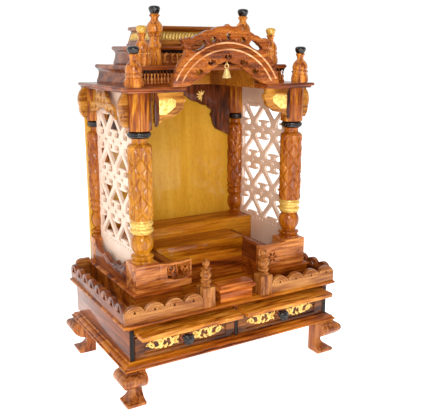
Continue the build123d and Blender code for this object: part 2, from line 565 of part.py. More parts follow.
def make_screens():
    """Two pierced screens let into grooves in the pillars."""
    front = PILLAR_FRONT_Y + SHAFT_RADIUS + SCREEN_FRONT_BORDER
    back = PILLAR_REAR_Y - SHAFT_RADIUS - SCREEN_BACK_BORDER
    bottom = PLINTH_TOP + SCREEN_FOOT
    top = ROOF_UNDERSIDE - SCREEN_HEAD
    middle = (PILLAR_FRONT_Y + PILLAR_REAR_Y) / 2
    upper_hole = sized(CELL_HOLE, CELL_HALF_WIDTH, CELL_HALF_HEIGHT)
    lower_hole = [(-a, -b, *bend) for a, b, *bend in upper_hole]
    left = SCREEN_X - SCREEN_THICKNESS
    through = 2 * SCREEN_THICKNESS
    cell = [sideways(outline(hole), left, through) for hole in (upper_hole, lower_hole)]
    star = sideways(outline(sized(STAR, STAR_RADIUS, STAR_RADIUS)), left, through)
    rows = ceil((top - bottom) / CELL_ROW_PITCH)
    columns = ceil((back - middle) / CELL_HALF_WIDTH)
    cutters = []
    for row in range(-1, rows + 1):
        z = top - CELL_FIRST_ROW - row * CELL_ROW_PITCH
        for column in range(-columns, columns + 1):
            place = Pos(0, middle + column * CELL_HALF_WIDTH, z)
            if bottom + STAR_RADIUS < z < top - STAR_RADIUS:
                cutters.append(place * star)
            if (row + column) % 2 == 0:
                cutters += [place * piece for piece in cell]
    window = block(SCREEN_X - SCREEN_THICKNESS / 2, SCREEN_X + SCREEN_THICKNESS / 2, front, back, bottom, top)
    panel = (screen_envelope(0) - window) + (window - cutters)
    parts["screen_right"] = panel
    parts["screen_left"] = mirror(panel, about=Plane.YZ)


def side_crest():
    """The pierced crest outside a screen, right-hand side: its top meets the roof and its foot is arched."""
    half = CREST_LENGTH / 2
    upper = sized(CREST, half, CREST_HEIGHT)
    points = upper + other_half(upper)[:-1] + sized(CREST_FOOT, half, CREST_HEIGHT)
    left = PILLAR_X + CAPITAL_HALF_WIDTH - CREST_THICKNESS
    board = sideways(outline(points), left, CREST_THICKNESS)
    drill = Rot(0, 90, 0) * Cylinder(CREST_HOLE, CREST_THICKNESS + 2 * PAST)
    holes = []
    for a, b in sized(CREST_HOLES, half, CREST_HEIGHT):
        for way in ((-1, 1) if a else (1,)):
            holes.append(Pos(left + CREST_THICKNESS / 2, way * a, b) * drill)
    return Pos(0, CREST_FRONT + half, ROOF_UNDERSIDE) * (board - holes)


def pillar(y, rear):
    """A turned pillar with an octagonal capital, right-hand side; a rear one is cut flat at the back."""
    capital_foot = PILLAR_HEIGHT - CAPITAL_HEIGHT
    post = turned(sized(PILLAR_PROFILE, SHAFT_RADIUS, capital_foot), PILLAR_X, y, BLOCK_TOP)
    octagon = RegularPolygon(CAPITAL_HALF_WIDTH, 8, major_radius=False, rotation=22.5)
    post += Pos(PILLAR_X, y, BLOCK_TOP + capital_foot) * extrude(octagon, CAPITAL_HEIGHT)
    if rear:
        wide = 2 * SHAFT_RADIUS
        post -= block(PILLAR_X - wide, PILLAR_X + wide, PANEL_BACK, y + wide,
                      BLOCK_TOP - PAST, ROOF_UNDERSIDE + PAST)
    return post - screen_envelope(FIT_GAP)


def make_pillars():
    for y, rear, place in ((PILLAR_FRONT_Y, False, "front"), (PILLAR_REAR_Y, True, "rear")):
        parts[f"pillars_{place}"] = pair(pillar(y, rear))
    top = ROOF_UNDERSIDE
    rear_face = PANEL_BACK - BRACKET_THICKNESS
    edge = PILLAR_X - CAPITAL_HALF_WIDTH
    shape = sized(FRONT_BRACKET, FRONT_BRACKET_LENGTH, FRONT_BRACKET_HEIGHT, top)
    face = outline([(edge - a, b, *bend) for a, b, *bend in shape])
    parts["front_brackets"] = pair(upright(face, PILLAR_FRONT_Y - CAPITAL_HALF_WIDTH, BRACKET_THICKNESS))
    edge = PILLAR_X - SHAFT_RADIUS - FIT_GAP
    shape = sized(REAR_BRACKET, REAR_BRACKET_LENGTH, REAR_BRACKET_HEIGHT, top)
    face = outline([(edge - a, b, *bend) for a, b, *bend in shape])
    parts["rear_brackets"] = pair(upright(face, rear_face, BRACKET_THICKNESS))
    outer = PILLAR_X + CAPITAL_HALF_WIDTH
    shape = sized(SIDE_BRACKET, SIDE_BRACKET_REACH, SIDE_BRACKET_HEIGHT, top)
    curved = outline([(outer + a, b, *bend) for a, b, *bend in shape])
    front = upright(curved, PILLAR_FRONT_Y - BRACKET_THICKNESS / 2, BRACKET_THICKNESS)
    parts["side_brackets"] = pair(front, upright(curved, rear_face, BRACKET_THICKNESS))
    parts["side_crests"] = pair(side_crest())


def tier(half_width, front, bottom):
    """One step of the roof: a skirt, a fascia and a lip."""
    steps = sized(TIER_PROFILE, TIER_MOULDING, TIER_HEIGHT, bottom)
    return moulded(half_width, front, BACK_PLANE, steps, plain_back=True)


def make_roof():
    steps = sized(ROOF_PROFILE, ROOF_MOULDING, ROOF_THICKNESS, ROOF_UNDERSIDE)
    board = moulded(ROOF_HALF_WIDTH, ROOF_FRONT, BACK_PLANE, steps, plain_back=True)
    board -= block(-ROOF_NOTCH, ROOF_NOTCH, ROOF_FRONT - PAST, ROOF_NOTCH_BACK,
                   ROOF_UNDERSIDE - PAST, ROOF_TOP + PAST)
    parts["roof_board"] = board
    lower = tier(LOWER_TIER_HALF_WIDTH, LOWER_TIER_FRONT, ROOF_TOP)
    wall = TIER_MOULDING + TIER_WALL
    inner = LOWER_TIER_HALF_WIDTH - wall
    hollow_top = LOWER_TIER_TOP - TIER_LIP
    foot = ROOF_TOP - PAST
    lower -= block(-inner, inner, LOWER_TIER_FRONT + wall, BACK_PLANE - TIER_WALL, foot, hollow_top)
    lower -= block(-ROOF_NOTCH, ROOF_NOTCH, LOWER_TIER_FRONT - PAST, ROOF_NOTCH_BACK, foot, hollow_top)
    parts["roof_tier_lower"] = lower
    parts["roof_tier_upper"] = tier(UPPER_TIER_HALF_WIDTH, UPPER_TIER_FRONT, LOWER_TIER_TOP)
    steps = sized(TOP_PROFILE, TOP_BATTER, TOP_HEIGHT, UPPER_TIER_TOP)
    half_width = UPPER_TIER_HALF_WIDTH - TOP_SIDE
    front = UPPER_TIER_FRONT + TOP_SETBACK
    parts["roof_top"] = moulded(half_width, front, BACK_PLANE, steps, plain_back=True)


def make_arch():
    """The carved and pierced front arch: horned shoulders outside, a cusped opening inside."""
    outside = sized(ARCH_OUTSIDE, ARCH_HALF_WIDTH, ARCH_HEIGHT, ROOF_TOP)
    crown = ROOF_TOP + ARCH_CROWN
    seat = HOOK_SEAT / 2
    inside = sized(ARCH_INSIDE, ARCH_HALF_WIDTH, ARCH_HEIGHT, ROOF_TOP)
    points = (outside + [(0, ROOF_TOP + ARCH_HEIGHT, ARCH_TIP_BEND)] + other_half(outside)
              + inside + [(-seat, crown), (seat, crown, ARCH_TIP_BEND)] + other_half(inside))
    panel = upright(outline(points), ARCH_FRONT, ARCH_THICKNESS)
    holes = [sized(hole, ARCH_HALF_WIDTH, ARCH_HEIGHT, ROOF_TOP) for hole in ARCH_HOLES]
    middle = [sized(hole, ARCH_HALF_WIDTH, ARCH_HEIGHT, ROOF_TOP) for hole in ARCH_MIDDLE_HOLES]
    through = ARCH_THICKNESS + 2 * PAST
    cutters = [upright(outline(hole), ARCH_FRONT - PAST, through) for hole in holes + middle]
    cutters += [mirror(cutter, about=Plane.YZ) for cutter in cutters[:len(holes)]]
    parts["arch"] = panel - cutters


def make_finials():
    front = turned(sized(FINIAL_PROFILE, FRONT_FINIAL_RADIUS, FRONT_FINIAL_HEIGHT),
                   ROOF_HALF_WIDTH - FRONT_FINIAL_INSET, ROOF_FRONT + FRONT_FINIAL_SETBACK, ROOF_TOP)
    parts["finials_front"] = pair(front)
    middle = turned(sized(FINIAL_PROFILE, MIDDLE_FINIAL_RADIUS, MIDDLE_FINIAL_HEIGHT),
                    LOWER_TIER_HALF_WIDTH - MIDDLE_FINIAL_INSET, LOWER_TIER_FRONT + MIDDLE_FINIAL_SETBACK,
                    LOWER_TIER_TOP)
    parts["finials_middle"] = pair(middle)
    octagon = RegularPolygon(PEDESTAL_HALF_WIDTH, 8, major_radius=False, rotation=22.5)
    rear = extrude(octagon, PEDESTAL_HEIGHT, taper=PEDESTAL_TAPER)
    rear += turned(sized(TALL_FINIAL_PROFILE, REAR_FINIAL_RADIUS, REAR_FINIAL_HEIGHT))
    x = UPPER_TIER_HALF_WIDTH - REAR_FINIAL_INSET
    y = UPPER_TIER_FRONT - REAR_FINIAL_FORWARD
    parts["finials_rear"] = pair(Pos(x, y, LOWER_TIER_TOP) * rear)


def make_bell():
    """A brass bell whose top ring hangs on a wire eye under the crown of the arch."""
    y = ARCH_FRONT + ARCH_THICKNESS / 2
    crown = ROOF_TOP + ARCH_CROWN
    wire = HOOK_WIRE / 2
    eye = crown - HOOK_SHANK - HOOK_RADIUS + wire
    hook = Pos(0, y, eye) * Rot(0, 90, 0) * Torus(HOOK_RADIUS - wire, wire)
    shank = HOOK_SHANK + wire
    hook += Pos(0, y, crown - shank / 2) * Cylinder(wire, shank)
    parts["bell_hook"] = hook
    ring_wire = BELL_RING_WIRE / 2
    ring_radius = BELL_RING_RADIUS - ring_wire
    wire_top = eye - HOOK_RADIUS + HOOK_WIRE
    ring_centre = wire_top + REST_GAP + ring_wire - ring_radius
    ring = Pos(0, y, ring_centre) * Rot(90, 0, 0) * Torus(ring_radius, ring_wire)
    mouth = ring_centre - ring_radius - BELL_HEIGHT
    face = outline(sized(BELL_PROFILE, BELL_RADIUS, BELL_HEIGHT, mouth))
    parts["bell"] = ring + Pos(0, y, 0) * revolve(Plane.XZ * face, Axis.Z)


make_stand()
for side, name in ((-1, "left"), (1, "right")):
    make_drawer(side, name)
    make_tray(side, name)
make_platform()
make_plinth()
make_screens()
make_pillars()
make_roof()
make_arch()
make_finials()
make_bell()

os.makedirs("parts", exist_ok=True)
for name, shape in parts.items():
    export_step(Pos(0, -ORIGIN_Y, 0) * shape, f"parts/{name}.step")
print(len(parts), "nodes written")
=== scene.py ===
import math

import bmesh
import bpy
from mathutils import Matrix, Vector


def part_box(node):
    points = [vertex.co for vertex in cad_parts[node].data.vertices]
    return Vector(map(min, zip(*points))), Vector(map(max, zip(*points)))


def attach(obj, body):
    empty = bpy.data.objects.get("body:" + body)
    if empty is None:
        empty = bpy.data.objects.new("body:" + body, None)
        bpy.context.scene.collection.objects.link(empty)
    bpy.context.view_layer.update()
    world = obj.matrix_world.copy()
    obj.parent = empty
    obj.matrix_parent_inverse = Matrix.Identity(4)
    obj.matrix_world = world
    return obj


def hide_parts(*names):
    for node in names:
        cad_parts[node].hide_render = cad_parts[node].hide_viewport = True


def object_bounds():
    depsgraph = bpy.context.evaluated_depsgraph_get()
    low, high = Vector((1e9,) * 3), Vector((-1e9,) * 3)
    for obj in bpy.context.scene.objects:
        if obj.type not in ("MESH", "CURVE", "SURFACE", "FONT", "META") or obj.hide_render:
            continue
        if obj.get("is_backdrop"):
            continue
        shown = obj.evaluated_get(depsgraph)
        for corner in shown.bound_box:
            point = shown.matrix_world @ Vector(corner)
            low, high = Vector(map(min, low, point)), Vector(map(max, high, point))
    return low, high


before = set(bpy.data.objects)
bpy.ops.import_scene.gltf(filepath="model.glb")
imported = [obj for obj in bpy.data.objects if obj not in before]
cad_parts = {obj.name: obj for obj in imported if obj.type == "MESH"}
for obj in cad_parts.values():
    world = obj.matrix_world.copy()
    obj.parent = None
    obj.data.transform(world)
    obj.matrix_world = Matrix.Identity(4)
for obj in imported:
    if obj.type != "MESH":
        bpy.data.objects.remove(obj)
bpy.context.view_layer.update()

# Legs
# Four bandsawn cabriole legs of sheesham, stained and lacquered, glued under the corners of the base board.
# Each has the same S-curve on its two outer faces and is straight inside.

MM = 0.001
SHRINE = "shrine"
WELD = 0.002
FIGURE_STRETCH = 0.16
STREAK_STRETCH = 0.07
PORE = 1.1
CARVED_RISE = 1.4
LEG_WIDTH = 49.0
LEG_EASE = 2.2
SWIRL_HEIGHT = 67.0
SWIRL_RADIUS = 13.0
SWIRL_END = 2.5
SWIRL_TURNS = 1.4
SWIRL_WIDTH = 3.6
LEG_LEAF_WIDTH = 4.4
LEG_TONES = ("#6a2f0c", "#a05a24", "#bd7a40")
FRONT_PLANE = Matrix(((1, 0, 0, 0), (0, 0, -1, 0), (0, 1, 0, 0), (0, 0, 0, 1)))
LEG_CURVE = [(-9, 0, -1.2), (-2, 4.6), (-2, 10, 4), (-25, 29, 4), (-18, 44, -4), (11, 66, -6), (-2, 86, -1.5),
             (-8, 92)]


def linear(hex_colour):
    """An sRGB hex colour as linear red, green, blue and alpha."""
    channels = [int(hex_colour[k:k + 2], 16) / 255 for k in (1, 3, 5)]
    return (*[c / 12.92 if c <= 0.04045 else ((c + 0.055) / 1.055) ** 2.4 for c in channels], 1.0)


def add(tree, kind, inputs=None, **settings):
    """A node with its settings, and its inputs set to values or linked to sockets."""
    node = tree.nodes.new(kind)
    for key, value in settings.items():
        setattr(node, key, value)
    for key, value in (inputs or {}).items():
        if isinstance(value, bpy.types.NodeSocket):
            tree.links.new(value, node.inputs[key])
        else:
            node.inputs[key].default_value = value
    return node


def ramp(tree, factor, stops):
    """The colours of a ramp through (position, hex colour) stops."""
    node = add(tree, "ShaderNodeValToRGB", {"Fac": factor})
    bands = node.color_ramp.elements
    while len(bands) < len(stops):
        bands.new(0.5)
    for band, (position, colour) in zip(bands, stops):
        band.position = position
        band.color = linear(colour)
    return node.outputs["Color"]


def blank_material(name):
    """A new material, its empty tree, and the places on the object."""
    material = bpy.data.materials.new(name)
    material.use_nodes = True
    tree = material.node_tree
    tree.nodes.clear()
    return material, tree, add(tree, "ShaderNodeTexCoord").outputs["Object"]


def stretched(tree, place, scale):
    """Places scaled along the three axes."""
    return add(tree, "ShaderNodeMapping", {"Vector": place, "Scale": scale}).outputs[0]


def noise(tree, place, size, detail=2.0, **more):
    """Noise whose patches measure about a size in millimetres."""
    inputs = {"Vector": place, "Scale": 1 / (size * MM), "Detail": detail, **more}
    return add(tree, "ShaderNodeTexNoise", inputs).outputs["Fac"]


def bump(tree, height, strength, deep):
    """A bumped normal, its depth in millimetres."""
    inputs = {"Height": height, "Strength": strength, "Distance": deep * MM}
    return add(tree, "ShaderNodeBump", inputs).outputs[0]


def end_in_surface(tree, inputs):
    """Ends a tree in one principled surface."""
    shader = add(tree, "ShaderNodeBsdfPrincipled", inputs)
    add(tree, "ShaderNodeOutputMaterial", {"Surface": shader.outputs[0]})


def lacquered_wood(name, grain, heart, body, sap, figure=38.0, streak=5.0, coat=0.08, gloss=0.42,
                   contrast=0.11):
    """Stained hardwood under lacquer: long figure and streaks along the grain, with fine dark pores."""
    material, tree, place = blank_material(name)
    figure_at = stretched(tree, place, [FIGURE_STRETCH if axis == grain else 1.0 for axis in "XYZ"])
    streak_at = stretched(tree, place, [STREAK_STRETCH if axis == grain else 1.0 for axis in "XYZ"])
    wide = noise(tree, figure_at, figure, 3.0, Distortion=1.4)
    narrow = noise(tree, streak_at, streak, 5.0, Roughness=0.62)
    mixed = add(tree, "ShaderNodeMix", {"Factor": 0.42, "A": wide, "B": narrow}).outputs[0]
    tone = ramp(tree, mixed, [(0.5 - contrast, heart), (0.5, body), (0.5 + contrast, sap)])
    dash = add(tree, "ShaderNodeMapRange", {"Value": noise(tree, streak_at, PORE), "From Min": 0.56,
                                            "From Max": 0.7, "To Min": 1.0, "To Max": 0.66}).outputs[0]
    shade = add(tree, "ShaderNodeVectorMath", {0: tone, "Scale": dash}, operation="SCALE").outputs[0]
    wave = noise(tree, place, 26, 1.0)
    end_in_surface(tree, {"Base Color": shade, "Roughness": 0.42, "Specular IOR Level": 0.1,
                          "Normal": bump(tree, dash, 0.12, 0.3), "Coat Weight": gloss, "Coat Roughness": coat,
                          "Coat IOR": 1.5, "Coat Normal": bump(tree, wave, 0.25, 1.2)})
    return material


def corners(node):
    """The lowest and highest corner of a node, in millimetres."""
    low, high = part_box(node)
    return Vector(low) / MM, Vector(high) / MM


def around(items):
    """Neighbours in pairs, the last with the first."""
    return zip(items, items[1:] + items[:1])


def verts_of(geometry):
    """The vertices among what a bmesh operator made."""
    return [item for item in geometry if isinstance(item, bmesh.types.BMVert)]


def bent(points, closed=False, step=2.5):
    """Points along (a, b, bend) pieces; bend is the rise of an arc to the left of the way it is drawn."""
    ring = list(points)
    ends = ring[1:] + ring[:1] if closed else ring[1:]
    line = []
    for here, there in zip(ring, ends):
        start, end = Vector(here[:2]), Vector(there[:2])
        line.append(start)
        bend = here[2] if len(here) > 2 else 0
        chord = end - start
        if abs(bend) < 1e-6:
            continue
        half = chord.length / 2
        radius = (half * half + bend * bend) / (2 * bend)
        left = Vector((-chord.y, chord.x)).normalized()
        centre = (start + end) / 2 + left * (bend - radius)
        first = math.atan2(start.y - centre.y, start.x - centre.x)
        swing = -math.copysign(4 * math.atan(abs(bend) / half), bend)
        count = max(2, math.ceil(abs(radius * swing) / step))
        for k in range(1, count):
            angle = first + swing * k / count
            line.append(centre + abs(radius) * Vector((math.cos(angle), math.sin(angle))))
    if not closed:
        line.append(Vector(ring[-1][:2]))
    return line


def stack(bm, footprint, levels):
    """A block that grows upwards from its footprint, its sides following (inset, height) levels.

    The footprint is a list of (x, y, dx, dy): dx and dy say which way a corner moves as the inset grows.
    """
    first_inset, first_height = levels[0]
    key = bm.verts.layers.int.new("corner")
    foot = []
    for k, (x, y, dx, dy) in enumerate(footprint):
        vert = bm.verts.new((x + dx * first_inset, y + dy * first_inset, first_height))
        vert[key] = k
        foot.append(vert)
    top = bm.faces.new(foot)
    for inset, height in levels[1:]:
        grown = bmesh.ops.extrude_face_region(bm, geom=[top])["geom"]
        bmesh.ops.delete(bm, geom=[top], context="FACES_ONLY")
        for vert in verts_of(grown):
            x, y, dx, dy = footprint[vert[key]]
            vert.co = (x + dx * inset, y + dy * inset, height)
        top = next(f for f in grown if isinstance(f, bmesh.types.BMFace))
    bmesh.ops.holes_fill(bm, edges=[e for e in bm.edges if e.is_boundary], sides=0)


def make_piece(name, bm, material, nodes=(), body=SHRINE, crisp=32.0):
    """Turns a bmesh in millimetres into a finished piece in metres, which rides on its body."""
    bmesh.ops.remove_doubles(bm, verts=bm.verts, dist=WELD)
    bmesh.ops.recalc_face_normals(bm, faces=bm.faces)
    bmesh.ops.scale(bm, vec=(MM, MM, MM), verts=bm.verts)
    mesh = bpy.data.meshes.new(name)
    bm.to_mesh(mesh)
    bm.free()
    mesh.polygons.foreach_set("use_smooth", [True] * len(mesh.polygons))
    mesh.set_sharp_from_angle(angle=math.radians(crisp))
    piece = bpy.data.objects.new(name, mesh)
    bpy.context.collection.objects.link(piece)
    mesh.materials.append(material)
    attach(piece, body)
    if nodes:
        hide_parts(*nodes)


def ease(bm, width, segments=2, angle=35.0):
    """Rounds every edge that is sharper than the angle, as sanding and lacquer do."""
    edges = [e for e in bm.edges if e.is_manifold and e.calc_face_angle(0) > math.radians(angle)]
    bmesh.ops.bevel(bm, geom=edges, offset=width, offset_type="OFFSET", affect="EDGES", segments=segments,
                    profile=0.5, material=-1, clamp_overlap=True)


def join(target, part):
    """Adds one bmesh to another and frees it."""
    scratch = bpy.data.meshes.new("part")
    part.to_mesh(scratch)
    part.free()
    target.from_mesh(scratch)
    bpy.data.meshes.remove(scratch)


def facing(origin, turn=0.0, lean=0.0):
    """The place of a board drawn in (x, y): it faces forward, turned about Z and leaning back by degrees."""
    turned = Matrix.Rotation(math.radians(turn), 4, "Z") @ Matrix.Rotation(-math.radians(lean), 4, "X")
    return Matrix.Translation(origin) @ turned @ FRONT_PLANE


def ribbon(bm, path, widths, rise, place):
    """A carved line: a half-round that follows a path on a face, of one width or one for each point."""
    count = len(path)
    sizes = widths if isinstance(widths, list) else [widths] * count
    across = [(-1, 0), (-0.72, 0.62), (0, 1), (0.72, 0.62), (1, 0)]
    ring = None
    for k in range(count):
        point = path[k]
        ahead = path[min(k + 1, count - 1)] - path[max(k - 1, 0)]
        left = Vector((-ahead.y, ahead.x)).normalized()
        half = max(sizes[k] / 2, 0.05)
        lift = rise * min(1.0, 0.35 + half / max(sizes))
        spots = [place @ Vector((*(point + left * half * a), lift * b)) for a, b in across]
        if ring is None:
            ring = [bm.verts.new(spot) for spot in spots]
            bm.faces.new(ring)
        else:
            loop = [bm.edges.get(ends) for ends in around(ring)]
            fresh = verts_of(bmesh.ops.extrude_edge_only(bm, edges=loop)["geom"])
            before, ring = ring, []
            for old in before:
                twin = min(fresh, key=lambda v: (v.co - old.co).length)
                fresh.remove(twin)
                ring.append(twin)
            for vert, spot in zip(ring, spots):
                vert.co = spot
    bm.faces.new(ring)


def swell(count, widest, thin, peak):
    """Widths that grow from a thin end to the widest place and shrink again."""
    widths = []
    for k in range(count):
        share = k / (count - 1)
        near = share / peak if share < peak else (1 - share) / (1 - peak)
        widths.append(widest * (thin + (1 - thin) * math.sin(near * math.pi / 2)))
    return widths


def carve(bm, path, widest, rise, place, thin=0.25, peak=0.4):
    """A carved line that swells towards its middle, like a leaf."""
    ribbon(bm, path, swell(len(path), widest, thin, peak), rise, place)


def spiral(centre, start, end, first_angle, turns, count):
    """A scroll that winds from the start radius to the end radius."""
    line = []
    for k in range(count + 1):
        share = k / count
        radius = start + (end - start) * share
        angle = math.radians(first_angle) + 2 * math.pi * turns * share
        line.append(Vector(centre) + radius * Vector((math.cos(angle), math.sin(angle))))
    return line


def leg_reach(height):
    """How far a leg stands out past the base board's edge at a height."""
    for below, above in zip(leg_line, leg_line[1:]):
        if below.y <= height <= above.y:
            return below.x + (above.x - below.x) * (height - below.y) / max(above.y - below.y, 1e-6)
    return 0.0


board_low, board_high = corners("base_board")
leg_wood = lacquered_wood("sheesham_legs", "Z", *LEG_TONES, figure=22)
leg_line = bent(LEG_CURVE)
bm = bmesh.new()
for side in (-1, 1):
    for end in (-1, 1):
        edge_x = board_high.x if side > 0 else board_low.x
        edge_y = board_high.y if end > 0 else board_low.y
        inner_x = edge_x - side * LEG_WIDTH
        inner_y = edge_y - end * LEG_WIDTH
        footprint = [(inner_x, inner_y, 0, 0), (edge_x, inner_y, side, 0), (edge_x, edge_y, side, end),
                     (inner_x, edge_y, 0, end)]
        leg = bmesh.new()
        stack(leg, footprint, [tuple(point) for point in leg_line])
        bmesh.ops.remove_doubles(leg, verts=leg.verts, dist=WELD)
        bmesh.ops.recalc_face_normals(leg, faces=leg.faces)
        ease(leg, LEG_EASE, 3, 50)
        join(bm, leg)
        outer_face = facing((edge_x, (inner_y + edge_y) / 2, 0), 90 * side)
        end_face = facing(((inner_x + edge_x) / 2, edge_y, 0), 0 if end < 0 else 180)
        for place, way in ((outer_face, side * end), (end_face, -side * end)):
            carving = bmesh.new()
            swirl = spiral((way * 3, SWIRL_HEIGHT), SWIRL_RADIUS, SWIRL_END, 90 + way * 90,
                           -way * SWIRL_TURNS, 30)
            carve(carving, swirl, SWIRL_WIDTH, CARVED_RISE, Matrix(), 0.5, 0.3)
            leaf = bent([(-way * 16, SWIRL_HEIGHT - 16, way * 3), (way * 2, SWIRL_HEIGHT - 14)])
            carve(carving, leaf, LEG_LEAF_WIDTH, CARVED_RISE, Matrix(), 0.3, 0.5)
            for vert in carving.verts:
                vert.co.z += leg_reach(vert.co.y) - CARVED_RISE
            bmesh.ops.transform(carving, matrix=place, verts=carving.verts)
            join(bm, carving)
make_piece("cabriole_legs", bm, leg_wood, ["legs"])

# Base board
# A moulded board that the case stands on, with a lip below an ogee that is planed along its four edges.

LIP_EASE = 0.8
BOARD_TONES = ("#5f2403", "#a9560a", "#d0801c")


def rectangle(low, high, plain_back=False):
    """A board's footprint, whose sides all carry the moulding, or all but the back."""
    back = 0 if plain_back else -1
    return [(low.x, low.y, 1, 1), (high.x, low.y, -1, 1), (high.x, high.y, -1, back),
            (low.x, high.y, 1, back)]


def moulded_board(name, node, material, levels, plain_back=False):
    """A board of a node's size with its moulding, given from its foot as (inset, height, bend)."""
    low, high = corners(node)
    board = bmesh.new()
    line = [(inset, low.z + height) for inset, height in bent(levels, step=1.2)]
    stack(board, rectangle(low, high, plain_back), line)
    bmesh.ops.recalc_face_normals(board, faces=board.faces)
    ease(board, LIP_EASE, 2, 40)
    make_piece(name, board, material, [node])


board_wood = lacquered_wood("sheesham_boards", "X", *BOARD_TONES)
moulded_board("moulded_base_board", "base_board", board_wood,
              [(1.5, 0, 1), (0, 5), (4, 5, 2.5), (11, 13, -1.5), (17, 16)])

# Drawer case
# Flat boards: two sides, a back, a divider and a dust shelf, glued between the base and the platform.
# The front edges of the sides and of the divider are stained nearly black.

CASE_EASE = 0.7
CASE_BOARD = 12.0
SHADED_SIDE_TONES = ("#4c1c06", "#803c12", "#9e5426")
DARK_TONES = ("#2c0f05", "#562409", "#7c3c12")
BLACK_TONES = ("#060303", "#0f0705", "#1e110c")
STAIN_THICK = 0.4
STAIN_INSET = 0.8
STAIN_BITE = 0.5


def cuboid(bm, low, high):
    """A plain block between two corners."""
    size = Vector(high) - Vector(low)
    made = bmesh.ops.create_cube(bm, size=1.0)["verts"]
    bmesh.ops.scale(bm, vec=size, verts=made)
    bmesh.ops.translate(bm, vec=(Vector(high) + Vector(low)) / 2, verts=made)


def plain_board(name, node, material, body=SHRINE, width=CASE_EASE):
    """A flat board of a node's size with eased edges."""
    low, high = corners(node)
    board = bmesh.new()
    cuboid(board, low, high)
    ease(board, width)
    make_piece(name, board, material, [node], body)


# Sideways boards (case sides, side swoops, recess cheeks) get darker tones than the front boards: painted
# shade.
shaded_side_wood = lacquered_wood("sheesham_sides_painted_shade", "Y", *SHADED_SIDE_TONES, figure=46, coat=0.05, gloss=0.45)
dark_board = lacquered_wood("sheesham_dark_boards", "X", *DARK_TONES)
case_low, case_high = corners("case_sides")
bm = bmesh.new()
cuboid(bm, case_low, (case_low.x + CASE_BOARD, case_high.y, case_high.z))
cuboid(bm, (case_high.x - CASE_BOARD, case_low.y, case_low.z), case_high)
ease(bm, CASE_EASE)
make_piece("case_side_boards", bm, shaded_side_wood, ["case_sides"])
plain_board("case_back_board", "case_back", board_wood)
plain_board("case_shelf_board", "dust_shelf", dark_board)
divider_low, divider_high = corners("case_divider")
shelf_low, shelf_high = corners("dust_shelf")
bm = bmesh.new()
cuboid(bm, divider_low, (divider_high.x, divider_high.y, shelf_low.z))
cuboid(bm, (divider_low.x, shelf_low.y, shelf_high.z), divider_high)
ease(bm, CASE_EASE)
make_piece("case_divider_boards", bm, dark_board, ["case_divider"])

stain = lacquered_wood("dark_edge_stain", "Z", *BLACK_TONES, figure=14, gloss=0.3)
bm = bmesh.new()
divider_width = divider_high.x - divider_low.x
for edge_x, width, front, top in ((case_low.x, CASE_BOARD, case_low.y, case_high.z),
                                  (case_high.x - CASE_BOARD, CASE_BOARD, case_low.y, case_high.z),
                                  (divider_low.x, divider_width, divider_low.y, shelf_low.z)):
    cuboid(bm, (edge_x + STAIN_INSET, front - STAIN_THICK, case_low.z + STAIN_INSET),
           (edge_x + width - STAIN_INSET, front + STAIN_BITE, top - STAIN_INSET))
make_piece("case_stained_edges", bm, stain)

# Drawers
# Open boxes with a framed front whose middle is sunk, with a turned knob in a carved dark rosette.
# Gilded scrolls are glued on both sides of the knob.

DRAWER_WALL = 8.0
DRAWER_FRONT = 16.0
DRAWER_FLOOR = 6.0
STILE = 22.0
RAIL = 9.0
SINK = 5.0
ROSETTE_RADIUS = 17.0
SCROLL_RISE = 3.2
DRAWER_TONES = ("#351404", "#6d3808", "#9c5c1c")
ROSETTE_TONES = ("#5c2814", "#8e4c2a", "#b87444")
SCROLL_SPREAD = 1.08
SCROLL_WEIGHT = 1.2
SCROLL_CENTRE = 60.0
SCROLL_STROKES = [([(40, -1, -8), (22, -5, -6), (29, 8, -5), (40, 1)], 5.0),
                  ([(22, -6, 5), (2, -1, -6), (-16, 7)], 6.0),
                  ([(24, 7, -4), (8, 4, 6), (-8, -6)], 5.5),
                  ([(12, 9, -3), (2, 3)], 5.0),
                  ([(10, -10, 3), (0, -3)], 5.0),
                  ([(2, 12, -3), (-8, 2)], 5.5),
                  ([(-2, -12, 3), (-10, -2)], 5.5),
                  ([(-8, 13, -4), (-20, 0, 4), (-38, -6)], 5.5),
                  ([(-12, -11, 4), (-24, 0, -4), (-40, 6)], 5.5),
                  ([(-38, 10, -5), (-26, 4)], 4.5),
                  ([(-36, -11, 5), (-24, -4)], 4.5)]
KNOB = [(0, 0), (9, 0), (9, 3, 1.5), (6, 9, 2), (9, 12, -1), (12, 15, -2), (12, 19, -1.5), (8, 21, -1),
        (5, 22.5), (4, 24, -1), (0, 24)]
ROSETTE_PETALS = 8
PETAL_STEP = 1.4
PETAL_WIDTH = 11.0
PETAL_RISE = 4.0
PANEL_BEVEL = 2.0


def painted_gold(name, paint, hollow):
    """Gold paint brushed over carving: bright flakes and a darker tone in patches at random."""
    material, tree, place = blank_material(name)
    brush = noise(tree, place, 4, 4.0)
    tone = ramp(tree, brush, [(0.36, hollow), (0.58, paint)])
    rough = add(tree, "ShaderNodeMapRange", {"Value": brush, "To Min": 0.3, "To Max": 0.5}).outputs[0]
    end_in_surface(tree, {"Base Color": tone, "Metallic": 0.3, "Roughness": rough,
                          "Normal": bump(tree, brush, 0.3, 0.5), "Coat Weight": 0.4, "Coat Roughness": 0.15})
    return material


def turn(bm, profile, centre, segments):
    """Spins a line of (radius, height) points about an upright axis."""
    verts = [bm.verts.new((centre[0] + radius, centre[1], centre[2] + up)) for radius, up in profile]
    edges = [bm.edges.new(ends) for ends in zip(verts, verts[1:])]
    bmesh.ops.spin(bm, geom=verts + edges, cent=centre, axis=(0, 0, 1), angle=2 * math.pi,
                   steps=segments, use_merge=True)


